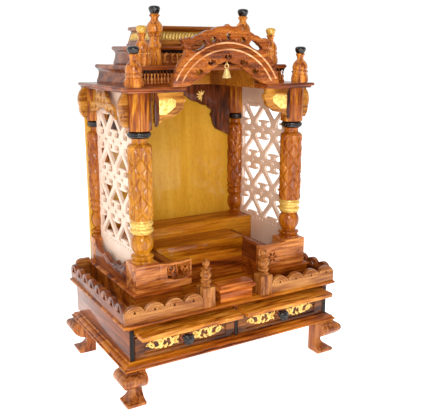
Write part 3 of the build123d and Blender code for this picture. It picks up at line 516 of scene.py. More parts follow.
def leafy_scroll(bm, way, place):
    """One gilded scroll: an open loop at its outer end, a leaf in the middle and curls that meet the knob."""
    for points, width in SCROLL_STROKES:
        path = [Vector((way * (SCROLL_CENTRE + p.x * SCROLL_SPREAD), p.y * SCROLL_SPREAD))
                for p in bent(points, step=2)]
        carve(bm, path, width * SCROLL_WEIGHT, SCROLL_RISE, place)


drawer_wood = lacquered_wood("sheesham_drawer_fronts", "X", *DRAWER_TONES, figure=30)
scroll_gold = painted_gold("gold_paint", "#ffe184", "#eeb24a")
rosette_wood = lacquered_wood("brown_rosettes", "Z", *ROSETTE_TONES, figure=12)
knob_wood = lacquered_wood("ebonised_knobs", "Z", *BLACK_TONES, figure=12, coat=0.03, gloss=1.0)
for hand in ("left", "right"):
    low, high = corners("drawer_" + hand)
    bm = bmesh.new()
    cuboid(bm, low, high)
    bm.faces.ensure_lookup_table()
    top = max(bm.faces, key=lambda f: f.calc_center_median().z)
    bmesh.ops.inset_region(bm, faces=[top], thickness=DRAWER_WALL, use_even_offset=True)
    sunk = bmesh.ops.extrude_face_region(bm, geom=[top])["geom"]
    bmesh.ops.delete(bm, geom=[top], context="FACES")
    for vert in verts_of(sunk):
        vert.co.z = low.z + DRAWER_FLOOR
    for vert in bm.verts:
        if abs(vert.co.y - (low.y + DRAWER_WALL)) < 0.1:
            vert.co.y = low.y + DRAWER_FRONT
    face = min(bm.faces, key=lambda f: f.calc_center_median().y)
    bmesh.ops.inset_region(bm, faces=[face], thickness=RAIL, use_even_offset=True)
    for vert in face.verts:
        vert.co.x += (STILE - RAIL) * (1 if vert.co.x < (low.x + high.x) / 2 else -1)
    bmesh.ops.inset_region(bm, faces=[face], thickness=PANEL_BEVEL, depth=-PANEL_BEVEL, use_even_offset=True)
    sunk = bmesh.ops.extrude_face_region(bm, geom=[face])["geom"]
    bmesh.ops.delete(bm, geom=[face], context="FACES")
    bmesh.ops.translate(bm, vec=(0, SINK - PANEL_BEVEL, 0), verts=verts_of(sunk))
    ease(bm, CASE_EASE)
    make_piece("drawer_box_" + hand, bm, drawer_wood, ["drawer_" + hand], "drawer_" + hand)

    middle = Vector(((low.x + high.x) / 2, low.y + SINK, (low.z + high.z) / 2))
    bm = bmesh.new()
    place = Matrix.Translation(middle) @ FRONT_PLANE
    for way in (-1, 1):
        leafy_scroll(bm, way, place)
    make_piece("gilded_scrolls_" + hand, bm, scroll_gold, (), "drawer_" + hand, 60)

    bm = bmesh.new()
    for k in range(ROSETTE_PETALS):
        angle = 2 * math.pi * k / ROSETTE_PETALS
        tip = Vector((math.cos(angle), math.sin(angle)))
        path = [tip * (3 + PETAL_STEP * j) for j in range(int(ROSETTE_RADIUS / PETAL_STEP) - 1)]
        carve(bm, path, PETAL_WIDTH, PETAL_RISE, place, 0.2, 0.6)
    make_piece("knob_rosette_" + hand, bm, rosette_wood, (), "drawer_" + hand, 50)
    bm = bmesh.new()
    turn(bm, bent(KNOB, step=1.2), (0, 0, 0), 32)
    bmesh.ops.transform(bm, matrix=place, verts=bm.verts)
    make_piece("turned_knob_" + hand, bm, knob_wood, ["knob_" + hand], "drawer_" + hand)

# Trays
# Flat boards that pull out above the drawers, of lighter streaky heartwood with a rounded front edge.

TRAY_TONES = ("#6f3004", "#bc6c12", "#e39c3e")
tray_wood = lacquered_wood("streaky_tray_boards", "X", *TRAY_TONES, figure=18, streak=7)
for hand in ("left", "right"):
    plain_board("tray_board_" + hand, "tray_" + hand, tray_wood, "tray_" + hand, width=2.5)

# Platform
# A moulded board over the case, with a rounded lip and a cove below it.

moulded_board("moulded_platform", "platform_board", board_wood,
              [(15, 0, -2.2), (4, 8), (2.2, 9, 2.2), (2.2, 16), (3.7, 17)])

# Gallery rails
# Low boards with scalloped tops. In front each scallop has two carved arcs over a small pierced triangle,
# at the sides a large pierced triangle. Short boards with a rounded corner close the back.

RAIL_THICKNESS = 12.0
RAIL_BAND = 25.8
SCALLOP_RISE = 17.2
SCALLOP_PITCH = 46.0
FRONT_HOLE = 8.0
SIDE_HOLE = 18.0
FAN_LINE = 2.4
FAN_FOOT = 23.8
CARVED_EASE = 0.8
REAR_RAIL_LENGTH = 38.0
REAR_RAIL_ROUND = 14.0
RAIL_TONES = ("#5e2a0a", "#9c5a22", "#c28444")
SHADED_SIDE_RAIL_TONES = ("#431804", "#783710", "#985424")


def fill_plate(bm, loops, depth, place, round_edge=CARVED_EASE, segments=2):
    """A board cut to an outline and pierced by holes, with eased edges, set in its place."""
    plate = bmesh.new()
    edges = []
    for line in loops:
        verts = [plate.verts.new((point[0], point[1], 0)) for point in line]
        edges += [plate.edges.new(ends) for ends in around(verts)]
    bmesh.ops.triangle_fill(plate, edges=edges, use_beauty=True, use_dissolve=False)
    grown = bmesh.ops.extrude_face_region(plate, geom=list(plate.faces), use_keep_orig=True)["geom"]
    bmesh.ops.translate(plate, vec=(0, 0, -depth), verts=verts_of(grown))
    bmesh.ops.recalc_face_normals(plate, faces=plate.faces)
    ease(plate, round_edge, segments, 50)
    bmesh.ops.transform(plate, matrix=place, verts=plate.verts)
    join(bm, plate)


def scalloped_board(bm, length, place, hole, fans):
    """A rail with round scallops, each pierced by a small triangle and, with fans, carved with two arcs."""
    count = max(1, round(length / SCALLOP_PITCH))
    pitch = length / count
    outline = [(0, 0), (length, 0)]
    outline += [(length - k * pitch, RAIL_BAND, -SCALLOP_RISE) for k in range(count)]
    loops = [bent(outline + [(0, RAIL_BAND)], closed=True, step=2.0)]
    foot = RAIL_BAND - hole / 4
    middles = [(k + 0.5) * pitch for k in range(count)]
    for middle in middles:
        loops.append([(middle - hole / 2, foot), (middle + hole / 2, foot), (middle, foot + hole)])
    fill_plate(bm, loops, RAIL_THICKNESS, place)
    for share in ((0.8, 0.52) if fans else ()):
        half = pitch / 2 * share
        for middle in middles:
            arc = [(middle - half, FAN_FOOT, SCALLOP_RISE * share), (middle + half, FAN_FOOT)]
            ribbon(bm, bent(arc, step=2.0), FAN_LINE, 1.6, place)


rail_wood = lacquered_wood("sheesham_rails", "X", *RAIL_TONES)
# The side rails get darker tones than the front rails: painted shade.
shaded_side_rail_wood = lacquered_wood("sheesham_side_rails_painted_shade", "Y", *SHADED_SIDE_RAIL_TONES)
low, high = corners("rail_front")
post_high = corners("gate_posts")[1]
bm = bmesh.new()
for start in (post_high.x, low.x):
    scalloped_board(bm, high.x - post_high.x, facing((start, low.y, low.z)), FRONT_HOLE, True)
make_piece("front_rails", bm, rail_wood, ["rail_front"], crisp=40)
low, high = corners("rail_sides")
bm = bmesh.new()
scalloped_board(bm, high.y - low.y, facing((high.x, low.y, low.z), 90), SIDE_HOLE, False)
scalloped_board(bm, high.y - low.y, facing((low.x, high.y, low.z), -90), SIDE_HOLE, False)
make_piece("side_rails", bm, shaded_side_rail_wood, ["rail_sides"], crisp=40)
low, high = corners("rail_rear")
height = high.z - low.z
shoulder = height - REAR_RAIL_ROUND
flat = REAR_RAIL_LENGTH - REAR_RAIL_ROUND
round_bend = -REAR_RAIL_ROUND * (1 - math.cos(math.pi / 4))
bm = bmesh.new()
foot = [(0, 0), (REAR_RAIL_LENGTH, 0)]
right = foot + [(REAR_RAIL_LENGTH, shoulder, round_bend), (flat, height), (0, height)]
left = foot + [(REAR_RAIL_LENGTH, height), (REAR_RAIL_ROUND, height, round_bend), (0, shoulder)]
fill_plate(bm, [bent(right, closed=True)], RAIL_THICKNESS, facing((high.x - REAR_RAIL_LENGTH, low.y, low.z)))
fill_plate(bm, [bent(left, closed=True)], RAIL_THICKNESS, facing(low))
make_piece("rear_rails", bm, rail_wood, ["rail_rear"])

# Gate posts
# Two square posts beside the way in, each with a small turned cap of rings and a bud.

POST_WIDTH = 34.0
POST_HEIGHT = 51.0
POST_CAP = [(0, 0), (13, 0), (13, 4), (10, 6), (12.5, 10, -1.5), (12.5, 16), (10, 18), (10, 20, -4), (10, 36),
            (9, 38), (12, 41, -1), (12, 43), (7, 45, 2), (7, 50, -4), (4, 63.5, -0.8), (0, 65)]
POST_PETAL = (1.5, 4, 6.5, 9, 11)
POST_PETAL_WIDTH = 5.5
POST_TONES = ("#683008", "#a46024", "#c88642")
post_wood = lacquered_wood("sheesham_posts", "Z", *POST_TONES, figure=20)
low, high = corners("gate_posts")
bm = bmesh.new()
for outer in (low.x + POST_WIDTH, high.x):
    cuboid(bm, (outer - POST_WIDTH, low.y, low.z), (outer, high.y, low.z + POST_HEIGHT))
ease(bm, 1.6, 3)
for outer in (low.x + POST_WIDTH, high.x):
    centre = (outer - POST_WIDTH / 2, (low.y + high.y) / 2, low.z + POST_HEIGHT)
    turn(bm, bent(POST_CAP, step=1.2), centre, 32)
    place = facing((centre[0], low.y, low.z + POST_HEIGHT / 2 - 4))
    for k in range(4):
        angle = math.radians(45 + 90 * k)
        path = [Vector((math.cos(angle), math.sin(angle))) * reach for reach in POST_PETAL]
        carve(bm, path, POST_PETAL_WIDTH, CARVED_RISE, place, 0.3, 0.5)
make_piece("gate_post_pair", bm, post_wood, ["gate_posts"])

# Threshold
# A low moulded block between the posts: a rounded nosing over a cove.

THRESHOLD_TONES = ("#702a05", "#b65c18", "#dc8434")
threshold_wood = lacquered_wood("sheesham_threshold", "X", *THRESHOLD_TONES)
moulded_board("moulded_threshold", "threshold", threshold_wood,
              [(7, 0), (7, 22, -0.9), (3.5, 28, 3.5), (3.5, 39), (6, 39), (6, 42, 0.7), (7, 45)])

# Plinth
# The U-shaped base of the temple, with a moulded ledge round its outside and a recess in its front.

RECESS_HALF = 128.0
RECESS_DEPTH = 141.0
PLINTH_TONES = ("#5c2206", "#a04c0e", "#c67426")
LEDGE = [(5, 0), (5, 37, -1), (1, 40, 1), (1, 43.6), (5, 45)]


def notched_board(name, node, material, levels, half, depth):
    """A moulded board with a plain back and a notch cut in from the middle of its front."""
    low, high = corners(node)
    footprint = [(low.x, low.y, 1, 1), (-half, low.y, 0, 1), (-half, low.y + depth, 0, 0),
                 (half, low.y + depth, 0, 0), (half, low.y, 0, 1), (high.x, low.y, -1, 1),
                 (high.x, high.y, -1, 0), (low.x, high.y, 1, 0)]
    board = bmesh.new()
    stack(board, footprint, [(inset, low.z + height) for inset, height in bent(levels, step=1.2)])
    bmesh.ops.recalc_face_normals(board, faces=board.faces)
    ease(board, LIP_EASE, 2, 40)
    make_piece(name, board, material, [node])


plinth_wood = lacquered_wood("sheesham_plinth", "X", *PLINTH_TONES, figure=50, gloss=0.1)
notched_board("plinth_body", "plinth_base", plinth_wood, LEDGE, RECESS_HALF, RECESS_DEPTH)

# Corner blocks
# Square blocks under the pillars; the rear pair is cut flat at the back.

BLOCK = 60.0
REAR_BLOCK_DEPTH = 33.0
BLOCK_TONES = ("#7a340a", "#ba6a2c", "#dc8e48")
block_wood = lacquered_wood("sheesham_blocks", "X", *BLOCK_TONES, figure=26)
low, high = corners("corner_blocks")
bm = bmesh.new()
for inner in (low.x, high.x - BLOCK):
    cuboid(bm, (inner, low.y, low.z), (inner + BLOCK, low.y + BLOCK, high.z))
    cuboid(bm, (inner, high.y - REAR_BLOCK_DEPTH, low.z), (inner + BLOCK, high.y, high.z))
ease(bm, 1.2, 2)
make_piece("pillar_blocks", bm, block_wood, ["corner_blocks"])

# Steps and back
# Two broad steps of golden sapwood for the idols, the lower one with a deep nosing, and a plain back board.

NOSING = 30.0
NOSING_OUT = 4.0
STEP_TONES = ("#864004", "#b66808", "#d48a1c")
RISER_TONES = ("#8a4206", "#c26a10", "#dc8c20")
BACK_TONES = ("#c2851a", "#d39a2a", "#dfab40")
step_wood = lacquered_wood("golden_steps", "X", *STEP_TONES, figure=60, streak=6)
riser_wood = lacquered_wood("brown_risers", "X", *RISER_TONES, figure=60, streak=6)
back_wood = lacquered_wood("golden_back", "Z", *BACK_TONES, figure=90, streak=8, contrast=0.2)
low, high = corners("lower_step")
bm = bmesh.new()
cuboid(bm, (low.x, low.y + NOSING_OUT, low.z), (high.x, high.y, high.z - NOSING))
make_piece("lower_step_body", bm, riser_wood, ["lower_step"])
bm = bmesh.new()
cuboid(bm, (low.x, low.y, high.z - NOSING), high)
ease(bm, 1.5)
make_piece("lower_step_tread", bm, step_wood)
plain_board("upper_step_body", "upper_step", step_wood, width=1.2)
plain_board("back_board", "back_panel", back_wood)

# Carved boards round the plinth top
# Low boards between the blocks: swooped ones at the sides, plain cheeks at the recess, pierced ones in front.
# The front left board is cut with scrollwork, the right one with a ring of petals.

PANEL = 12.0
CHEEK = 20.0
FRONT_BOARD_WIDTH = 84.0
SWOOP_DROP = 36.0
SCROLL_DROP = 8.0
SWOOP_TOP = [(100, 100, 9), (44, 28), (38, 44, 6), (0, 6)]
SCROLL_TOP = [(100, 100), (92, 100, 2), (12, 70), (0, 86)]
SCROLL_WINDOW = [(-21, 24), (-23, 44, 3), (-15, 56), (14, 54.5), (38, 57), (38.5, 27), (22, 20), (-4, 19)]
SCROLL_RINGS = [(-10, 46, 7.5), (26.5, 46, 6), (28, 31, 5.5)]
SCROLL_STRIPS = [[(-22, 42, 3), (-19, 31, 2), (-8, 27), (-6, 18)],
                 [(-3, 41, 2), (-17, 34)],
                 [(4, 57, -2), (6, 40, -3), (8, 27, -3), (16, 25), (19, 18)],
                 [(12, 56, 3), (17, 42, -2), (23, 35)],
                 [(39, 53, -2), (33, 42), (36, 32), (34, 22)]]
STRIP_WIDTH = 3.6
STRIP_DEEP = 6.0
PETALS = 6
PETAL_REACH = 9.4
PETAL_LONG = 5.2
PETAL_WIDE = 3.4
EYE_RADIUS = 2.6
PETAL_HEIGHT = 27.5
RING_RADIUS = 17.0
LEAF_START, LEAF_END = 20, 38


def hundredths(points, across, up, foot=0.0):
    """Points given in hundredths of a width and a height, in millimetres above a foot."""
    return [(a * across / 100, foot + b * up / 100, *(bend * across / 100 for bend in rest))
            for a, b, *rest in points]


def other_half(points):
    """The left half that closes a right half drawn upwards from its foot."""
    bends = [point[2] if len(point) > 2 else 0 for point in points]
    left = [(-points[k][0], points[k][1], bends[k - 1] if k else 0) for k in range(len(points) - 1, -1, -1)]
    return left[1:] if points[-1][0] == 0 else left


def topped(length, height, drop, top_edge):
    """A low board's outline and its top edge, which is given from its right end to its middle."""
    top = hundredths(top_edge, length / 2, drop, height - drop)
    edge = top + other_half(top)
    return bent([(-length / 2, 0), (length / 2, 0)] + edge, closed=True), bent(edge)


def oval(x, y, across, up, count, turn=0.0):
    """Points round an oval hole, turned by degrees."""
    ring = []
    for k in range(count):
        angle = 2 * math.pi * k / count
        spot = Vector((across * math.cos(angle), up * math.sin(angle)))
        ring.append(Vector((x, y)) + Matrix.Rotation(math.radians(turn), 2) @ spot)
    return ring


def closed_ribbon(bm, ring, width, rise, place):
    """A carved line that runs round a closed outline."""
    path = list(ring) + [ring[0], ring[1]]
    ribbon(bm, path, width, rise, place)


low, high = corners("side_panels")
outline, edge = topped(high.y - low.y, high.z - low.z, SWOOP_DROP, SWOOP_TOP)
middle_y = (low.y + high.y) / 2
bm = bmesh.new()
for face_x, turn_by in ((low.x, -90), (high.x, 90)):
    place = facing((face_x, middle_y, low.z), turn_by)
    fill_plate(bm, [outline], PANEL, place)
    ribbon(bm, [Vector((p.x * 0.95, p.y - 6)) for p in edge], FAN_LINE, CARVED_RISE, place)
# The side swoop boards take the darker side tones, which are painted shade.
make_piece("side_swoop_boards", bm, shaded_side_wood, ["side_panels"], crisp=40)

low, high = corners("front_panels")
outline, edge = topped(FRONT_BOARD_WIDTH, high.z - low.z, SCROLL_DROP, SCROLL_TOP)
bm = bmesh.new()
place = facing((low.x + FRONT_BOARD_WIDTH / 2, low.y, low.z))
fill_plate(bm, [outline, bent(SCROLL_WINDOW, closed=True)], PANEL, place)
behind = place @ Matrix.Translation((0, 0, -STRIP_DEEP))
for x, y, radius in SCROLL_RINGS:
    closed_ribbon(bm, oval(x, y, radius, radius, 28), STRIP_WIDTH, STRIP_DEEP, behind)
for strip in SCROLL_STRIPS:
    line = bent(strip, step=1.5)
    ribbon(bm, line, STRIP_WIDTH, STRIP_DEEP, behind)
place = facing((high.x - FRONT_BOARD_WIDTH / 2, low.y, low.z))
petals = []
for k in range(PETALS):
    turn_by = 360 / PETALS * k
    away = Matrix.Rotation(math.radians(turn_by), 2) @ Vector((PETAL_REACH, 0))
    petals.append(oval(away.x, PETAL_HEIGHT + away.y, PETAL_LONG, PETAL_WIDE, 12, turn_by))
fill_plate(bm, [outline] + petals, PANEL, place)
closed_ribbon(bm, oval(0, PETAL_HEIGHT, RING_RADIUS, RING_RADIUS, 40), 2.8, 1.8, place)
closed_ribbon(bm, oval(0, PETAL_HEIGHT, EYE_RADIUS, EYE_RADIUS, 14), FAN_LINE, 1.8, place)
for way in (-1, 1):
    for lift in (-1, 1):
        leaf = bent([(way * LEAF_START, PETAL_HEIGHT + lift * 9, -way * lift * 3),
                     (way * (LEAF_END - 1), PETAL_HEIGHT + lift * 17)])
        carve(bm, leaf, 6.0, 2.0, place, 0.2, 0.45)
    leaf = bent([(way * LEAF_START, PETAL_HEIGHT), (way * (LEAF_START + LEAF_END) / 2, PETAL_HEIGHT + 0.1),
                 (way * LEAF_END, PETAL_HEIGHT)])
    ribbon(bm, leaf, [2.0, 6.0, 2.0], 2.0, place)
make_piece("front_pierced_boards", bm, block_wood, ["front_panels"], crisp=40)

low, high = corners("recess_cheeks")
bm = bmesh.new()
cuboid(bm, low, (low.x + CHEEK, high.y, high.z))
cuboid(bm, (high.x - CHEEK, low.y, low.z), high)
ease(bm, CASE_EASE)
# The recess cheeks take the darker side tones, which are painted shade.
make_piece("recess_cheek_boards", bm, shaded_side_wood, ["recess_cheeks"])

# Pillars
# Turned pillars: a vase foot, two rings, a shaft cut with crossing spirals, a dark collar and a darker
# capital with eight sides. In front the rings are gilded and the collars beaded; the rear pair is cut flat.
# All pillars but the front left take a darker copy of the pillar wood, whose darker tones are painted shade.

SHAFT = 28.0
PILLAR_X = 211.0
CAPITAL_HALF = 27.0
CAPITAL_HEIGHT = 79.0
CAPITAL_SINK = 4.0
LATTICE_STARTS = 5
LATTICE_PITCH = 42.0
LATTICE_CUT = 3.0
LATTICE_WIDTH = 0.15
LATTICE_FADE = 8.0
SHAFT_FOOT, SHAFT_HEAD = 101.0, 272.0
FOOT = [(0, 0), (26, 0), (26, 5), (22, 7), (25, 12, -2), (25, 17), (20, 19, 1.5), (19, 24, -7), (20, 66),
        (25, 69), (0, 69)]
RINGS = [(0, 69), (24, 69), (25, 72, -2.8), (25, 82), (24, 84), (24, 85), (25, 88, -2.8), (25, 98),
         (24, 101), (0, 101)]
NECK = [(26, 272, -1), (19, 276, 1.5), (19, 288), (23, 289), (0, 289)]
COLLAR = [(0, 288.5), (21, 288.5), (23, 290, -2), (25, 296, -2), (23, 303), (21, 304.5), (0, 304.5)]
COLLAR_BEADS = 24
COLLAR_RADIUS = 25.2
COLLAR_HEIGHT = 296.5
BEAD = 2.3
PILLAR_TONES = ("#8e4806", "#b8740e", "#d68e24")
SHADED_PILLAR_TONES = ("#783204", "#9e5004", "#bc6e18")
CAPITAL_TONES = ("#5a2408", "#9c4c0a", "#d08c28")


def cut_lattice(verts, centre):
    """Sinks two sets of crossing spirals into the shaft, shallow at its ends."""
    for vert in verts:
        height = vert.co.z - centre[2]
        if not SHAFT_FOOT + 2 < height < SHAFT_HEAD - 2:
            continue
        out = Vector((vert.co.x - centre[0], vert.co.y - centre[1]))
        angle = math.atan2(out.y, out.x)
        turn_by = 2 * math.pi * (height - SHAFT_FOOT) / LATTICE_PITCH
        cut = 0.0
        for way in (-1, 1):
            phase = (LATTICE_STARTS * angle + way * turn_by) / (2 * math.pi)
            cut = max(cut, 1 - abs(phase - round(phase)) / LATTICE_WIDTH)
        end = min(1.0, (height - SHAFT_FOOT) / LATTICE_FADE, (SHAFT_HEAD - height) / LATTICE_FADE)
        out *= 1 - LATTICE_CUT * cut * end / out.length
        vert.co.x = centre[0] + out.x
        vert.co.y = centre[1] + out.y


def beads(bm, centre, height, radius, count, size):
    """A ring of small round beads, half let into the wood, at a height over the centre's."""
    for k in range(count):
        angle = 2 * math.pi * k / count
        around_it = (radius * math.cos(angle), radius * math.sin(angle), height)
        bmesh.ops.create_uvsphere(bm, u_segments=10, v_segments=6, radius=size,
                                  matrix=Matrix.Translation(Vector(centre) + Vector(around_it)))


def turned_part(bm, profile, centre, segments=40):
    """Adds one turned piece to a bmesh."""
    part = bmesh.new()
    turn(part, profile, centre, segments)
    join(bm, part)


def eight_sided(bm, centre, foot, halves, tall, width):
    """Adds an upright block with eight sides, by its half widths at the foot and at the top."""
    block = bmesh.new()
    lower, upper = (half / math.cos(math.pi / 8) for half in halves)
    bmesh.ops.create_cone(block, cap_ends=True, segments=8, radius1=lower, radius2=upper, depth=tall)
    bmesh.ops.rotate(block, verts=block.verts, matrix=Matrix.Rotation(math.pi / 8, 3, "Z"))
    bmesh.ops.translate(block, vec=(centre[0], centre[1], foot + tall / 2), verts=block.verts)
    ease(block, width, 2, 30)
    join(bm, block)


def cut_away(bm, point, outward):
    """Cuts off what lies past a plane, and gives the edges of the cut."""
    everything = bm.verts[:] + bm.edges[:] + bm.faces[:]
    cut = bmesh.ops.bisect_plane(bm, geom=everything, dist=0.001, plane_co=point, plane_no=outward,
                                 clear_outer=True)["geom_cut"]
    return [item for item in cut if isinstance(item, bmesh.types.BMEdge)]


# The second copy has darker tones that are painted shade.
pillar_wood, shaded_pillar_wood = (
    lacquered_wood(name, "Z", *tones, figure=24, streak=4, coat=0.04, gloss=0.5)
    for name, tones in (("honey_pillars", PILLAR_TONES), ("amber_pillars_painted_shade", SHADED_PILLAR_TONES)))
capital_wood = lacquered_wood("sheesham_capitals", "Z", *CAPITAL_TONES, figure=20)
ring_gold = painted_gold("gilded_rings", "#e8c260", "#cc963c")
collar_wood = lacquered_wood("black_collars", "X", *BLACK_TONES, figure=12, coat=0.03, gloss=1.0)
for node, wood in (("pillars_front", pillar_wood), ("pillars_rear", shaded_pillar_wood)):
    low, high = corners(node)
    rear = node == "pillars_rear"
    left, right, rings, collars, heads = (bmesh.new() for _ in range(5))
    for side, plain in ((-1, left), (1, right)):
        centre = (side * PILLAR_X, low.y + SHAFT, low.z)
        turned_part(plain, bent(FOOT, step=1.6), centre)
        shaft = bmesh.new()
        line = [(0, SHAFT_FOOT), (24, SHAFT_FOOT), (27, SHAFT_FOOT + 1.5)]
        line += [(SHAFT, z) for z in range(int(SHAFT_FOOT) + 4, int(SHAFT_HEAD) - 2, 2)]
        turn(shaft, line + [(27, SHAFT_HEAD - 1.5)] + [tuple(p) for p in bent(NECK, step=1.6)], centre, 96)
        cut_lattice(shaft.verts, centre)
        join(plain, shaft)
        turned_part(plain if rear else rings, bent(RINGS, step=1.2), centre)
        turned_part(collars, bent(COLLAR, step=1.2), centre)
        if not rear:
            beads(collars, centre, COLLAR_HEIGHT, COLLAR_RADIUS, COLLAR_BEADS, BEAD)
        tall = CAPITAL_HEIGHT + CAPITAL_SINK
        eight_sided(heads, centre, high.z - tall, (CAPITAL_HALF, CAPITAL_HALF), tall, 0.8)
    if rear:
        for part in (left, right, collars, heads):
            bmesh.ops.holes_fill(part, edges=cut_away(part, (0, high.y, 0), (0, 1, 0)), sides=0)
    make_piece(node + "_left", left, wood, [node])
    # The right pillar takes the darker copy of the pillar wood, which is painted shade.
    make_piece(node + "_right", right, shaded_pillar_wood)
    make_piece(node + "_collars", collars, collar_wood)
    make_piece(node + "_capitals", heads, capital_wood)
    if not rear:
        make_piece(node + "_gilded_rings", rings, ring_gold)

# Screens
# Pierced boards in cream paint, let into grooves in the pillars and sawn with a lattice of ogee cells.
# Every cell holds a four-pointed star between two bars with curled ends; small triangles run above and below.

SCREEN_THICK = 8.0
SAWN_EASE = 0.6
WINDOW_LOW = Vector((14, 90))
WINDOW_HIGH = Vector((12, 56))
CELL_HALF = 47.5
CELL_RISE = 61.0
CELL_ROW = 87.5
CELL_FIRST = 65.0
STAR_RADIUS = 9.5
CREAM_TONES = ("#eed2bc", "#e4c2a8")
BAND_HOLE = 7.0
BAND_GAP = 6.0
BAND_PITCH = 15.8
CELL_HOLE = [(0, 98), (-57, 53, -2), (-74, 33, -1), (-72, 22, -2), (-62, 15.5), (-25, 15.5), (-20, 20),
             (-20, 33), (-36, 32, 2), (-46, 38, 1.5), (-40, 43), (0, 44), (40, 43, 1.5), (46, 38, 2),
             (36, 32), (20, 33), (20, 20), (25, 15.5), (62, 15.5, -2), (72, 22, -1), (74, 33, -2), (57, 53)]
STAR = [(90, 0), (30, 30), (0, 100), (-30, 30), (-90, 0), (-30, -30), (0, -100), (30, -30)]


def clipped(loops, low, high):
    """What is left of flat outlines inside a window, as separate outlines."""
    flat = bmesh.new()
    for line in loops:
        flat.faces.new([flat.verts.new((point[0], point[1], 0)) for point in line])
    for corner, way in ((low, -1), (high, 1)):
        for outward in ((way, 0, 0), (0, way, 0)):
            cut_away(flat, (*corner, 0), outward)
    outlines = [[(vert.co.x, vert.co.y) for vert in face.verts] for face in flat.faces]
    flat.free()
    return outlines


def cream_paint(name, paint, shade):
    """Satin paint over cut board: nearly even, a little darker in patches, with faint brush lines."""
    material, tree, place = blank_material(name)
    tone = ramp(tree, noise(tree, place, 55, 3.0), [(0.3, shade), (0.62, paint)])
    brush = noise(tree, stretched(tree, place, (1, 1, 0.06)), 1.5)
    end_in_surface(tree, {"Base Color": tone, "Roughness": 0.45, "Normal": bump(tree, brush, 0.15, 0.2),
                          "Coat Weight": 0.3, "Coat Roughness": 0.3})
    return material


screen_paint = cream_paint("cream_screen_paint", *CREAM_TONES)
for hand in ("left", "right"):
    low, high = corners("screen_" + hand)
    length, height = high.y - low.y, high.z - low.z
    window = (WINDOW_LOW, Vector((length, height)) - WINDOW_HIGH)
    rows = math.ceil((window[1].y - window[0].y) / CELL_ROW)
    cells = []
    upper = bent(hundredths(CELL_HOLE, CELL_HALF, CELL_RISE), closed=True, step=2.0)
    star = hundredths(STAR, STAR_RADIUS, STAR_RADIUS)
    for row in range(-1, rows + 1):
        z = window[1].y - CELL_FIRST - row * CELL_ROW
        for column in range(-3, 4):
            y = length / 2 + column * CELL_HALF
            if window[0].y + STAR_RADIUS < z < window[1].y - STAR_RADIUS:
                cells.append([(y + a, z + b) for a, b in star])
            if (row + column) % 2 == 0:
                cells.append([(y + p.x, z + p.y) for p in upper])
                cells.append([(y + p.x, z - p.y) for p in upper])
    loops = clipped(cells, *window)
    count = int((window[1].x - window[0].x) / BAND_PITCH)
    for k in range(count):
        y = length / 2 + (k - (count - 1) / 2) * BAND_PITCH
        for foot, up in ((window[1].y + BAND_GAP, 1), (window[0].y - BAND_GAP, -1)):
            loops.append([(y - BAND_HOLE / 2, foot), (y + BAND_HOLE / 2, foot), (y, foot + up * BAND_HOLE)])
    loops.append([(0, 0), (length, 0), (length, height), (0, height)])
    bm = bmesh.new()
    fill_plate(bm, loops, SCREEN_THICK, facing((high.x, low.y, low.z), 90), SAWN_EASE, 1)
    make_piece("jali_screen_" + hand, bm, screen_paint, ["screen_" + hand], crisp=40)

# Crests
# Small tan boards that hang from the roof outside the screens, with a scrolled top, an arched foot and holes.

CREST_THICK = 8.0
CREST_TALL = 79.0
CREST_TONES = ("#8a4e16", "#b87a30", "#cf9448")
CREST = [(100, -82, -2), (94, -62, -3), (84, -44, -3), (56, -40, -4), (38, -18, -3), (22, 0)]
CREST_FOOT = [(-100, -82, 5), (-40, -66, 3), (0, -52, 3), (40, -66, 5)]
CREST_HOLES = [(0, -14), (0, -34), (24, -34), (48, -56), (72, -60)]
CREST_HOLE = 4.0
RIM_LINE = 2.2
crest_wood = lacquered_wood("tan_crests", "Y", *CREST_TONES, figure=22)
low, high = corners("side_crests")
half = (high.y - low.y) / 2
upper = hundredths(CREST, half, CREST_TALL)
lower = hundredths(CREST_FOOT, half, CREST_TALL)
outline = bent(upper + other_half(upper)[:-1] + lower, closed=True, step=2.0)
holes = []
for a, b in hundredths(CREST_HOLES, half, CREST_TALL):
    for way in ((-1, 1) if a else (1,)):
        holes.append(oval(way * a, b, CREST_HOLE, CREST_HOLE, 16))
foot_line = bent(hundredths(CREST_FOOT + [(100, -82)], half, CREST_TALL), step=2.0)
bm = bmesh.new()
for face_x, turn_by in ((low.x, -90), (high.x, 90)):
    place = facing((face_x, (low.y + high.y) / 2, high.z), turn_by)
    fill_plate(bm, [outline] + holes, CREST_THICK, place)
    ribbon(bm, [Vector((p.x * 0.96, p.y + 4)) for p in foot_line], RIM_LINE, CARVED_RISE, place)
    for hole in holes:
        middle = sum(hole, Vector((0, 0))) / len(hole)
        closed_ribbon(bm, [middle + (p - middle) * 1.5 for p in hole], 1.6, 1.2, place)
make_piece("pierced_crests", bm, crest_wood, ["side_crests"], crisp=40)

# Brackets
# Shaped boards beside the capitals: sawn scrolls in front with gold leaf on carved leaves, a long dark cusped
# valance at the back, curved boards outside, and thin dark boards close inside the front capitals.
# The valance and the inner boards sit in shade, and their dark tones are painted shade.

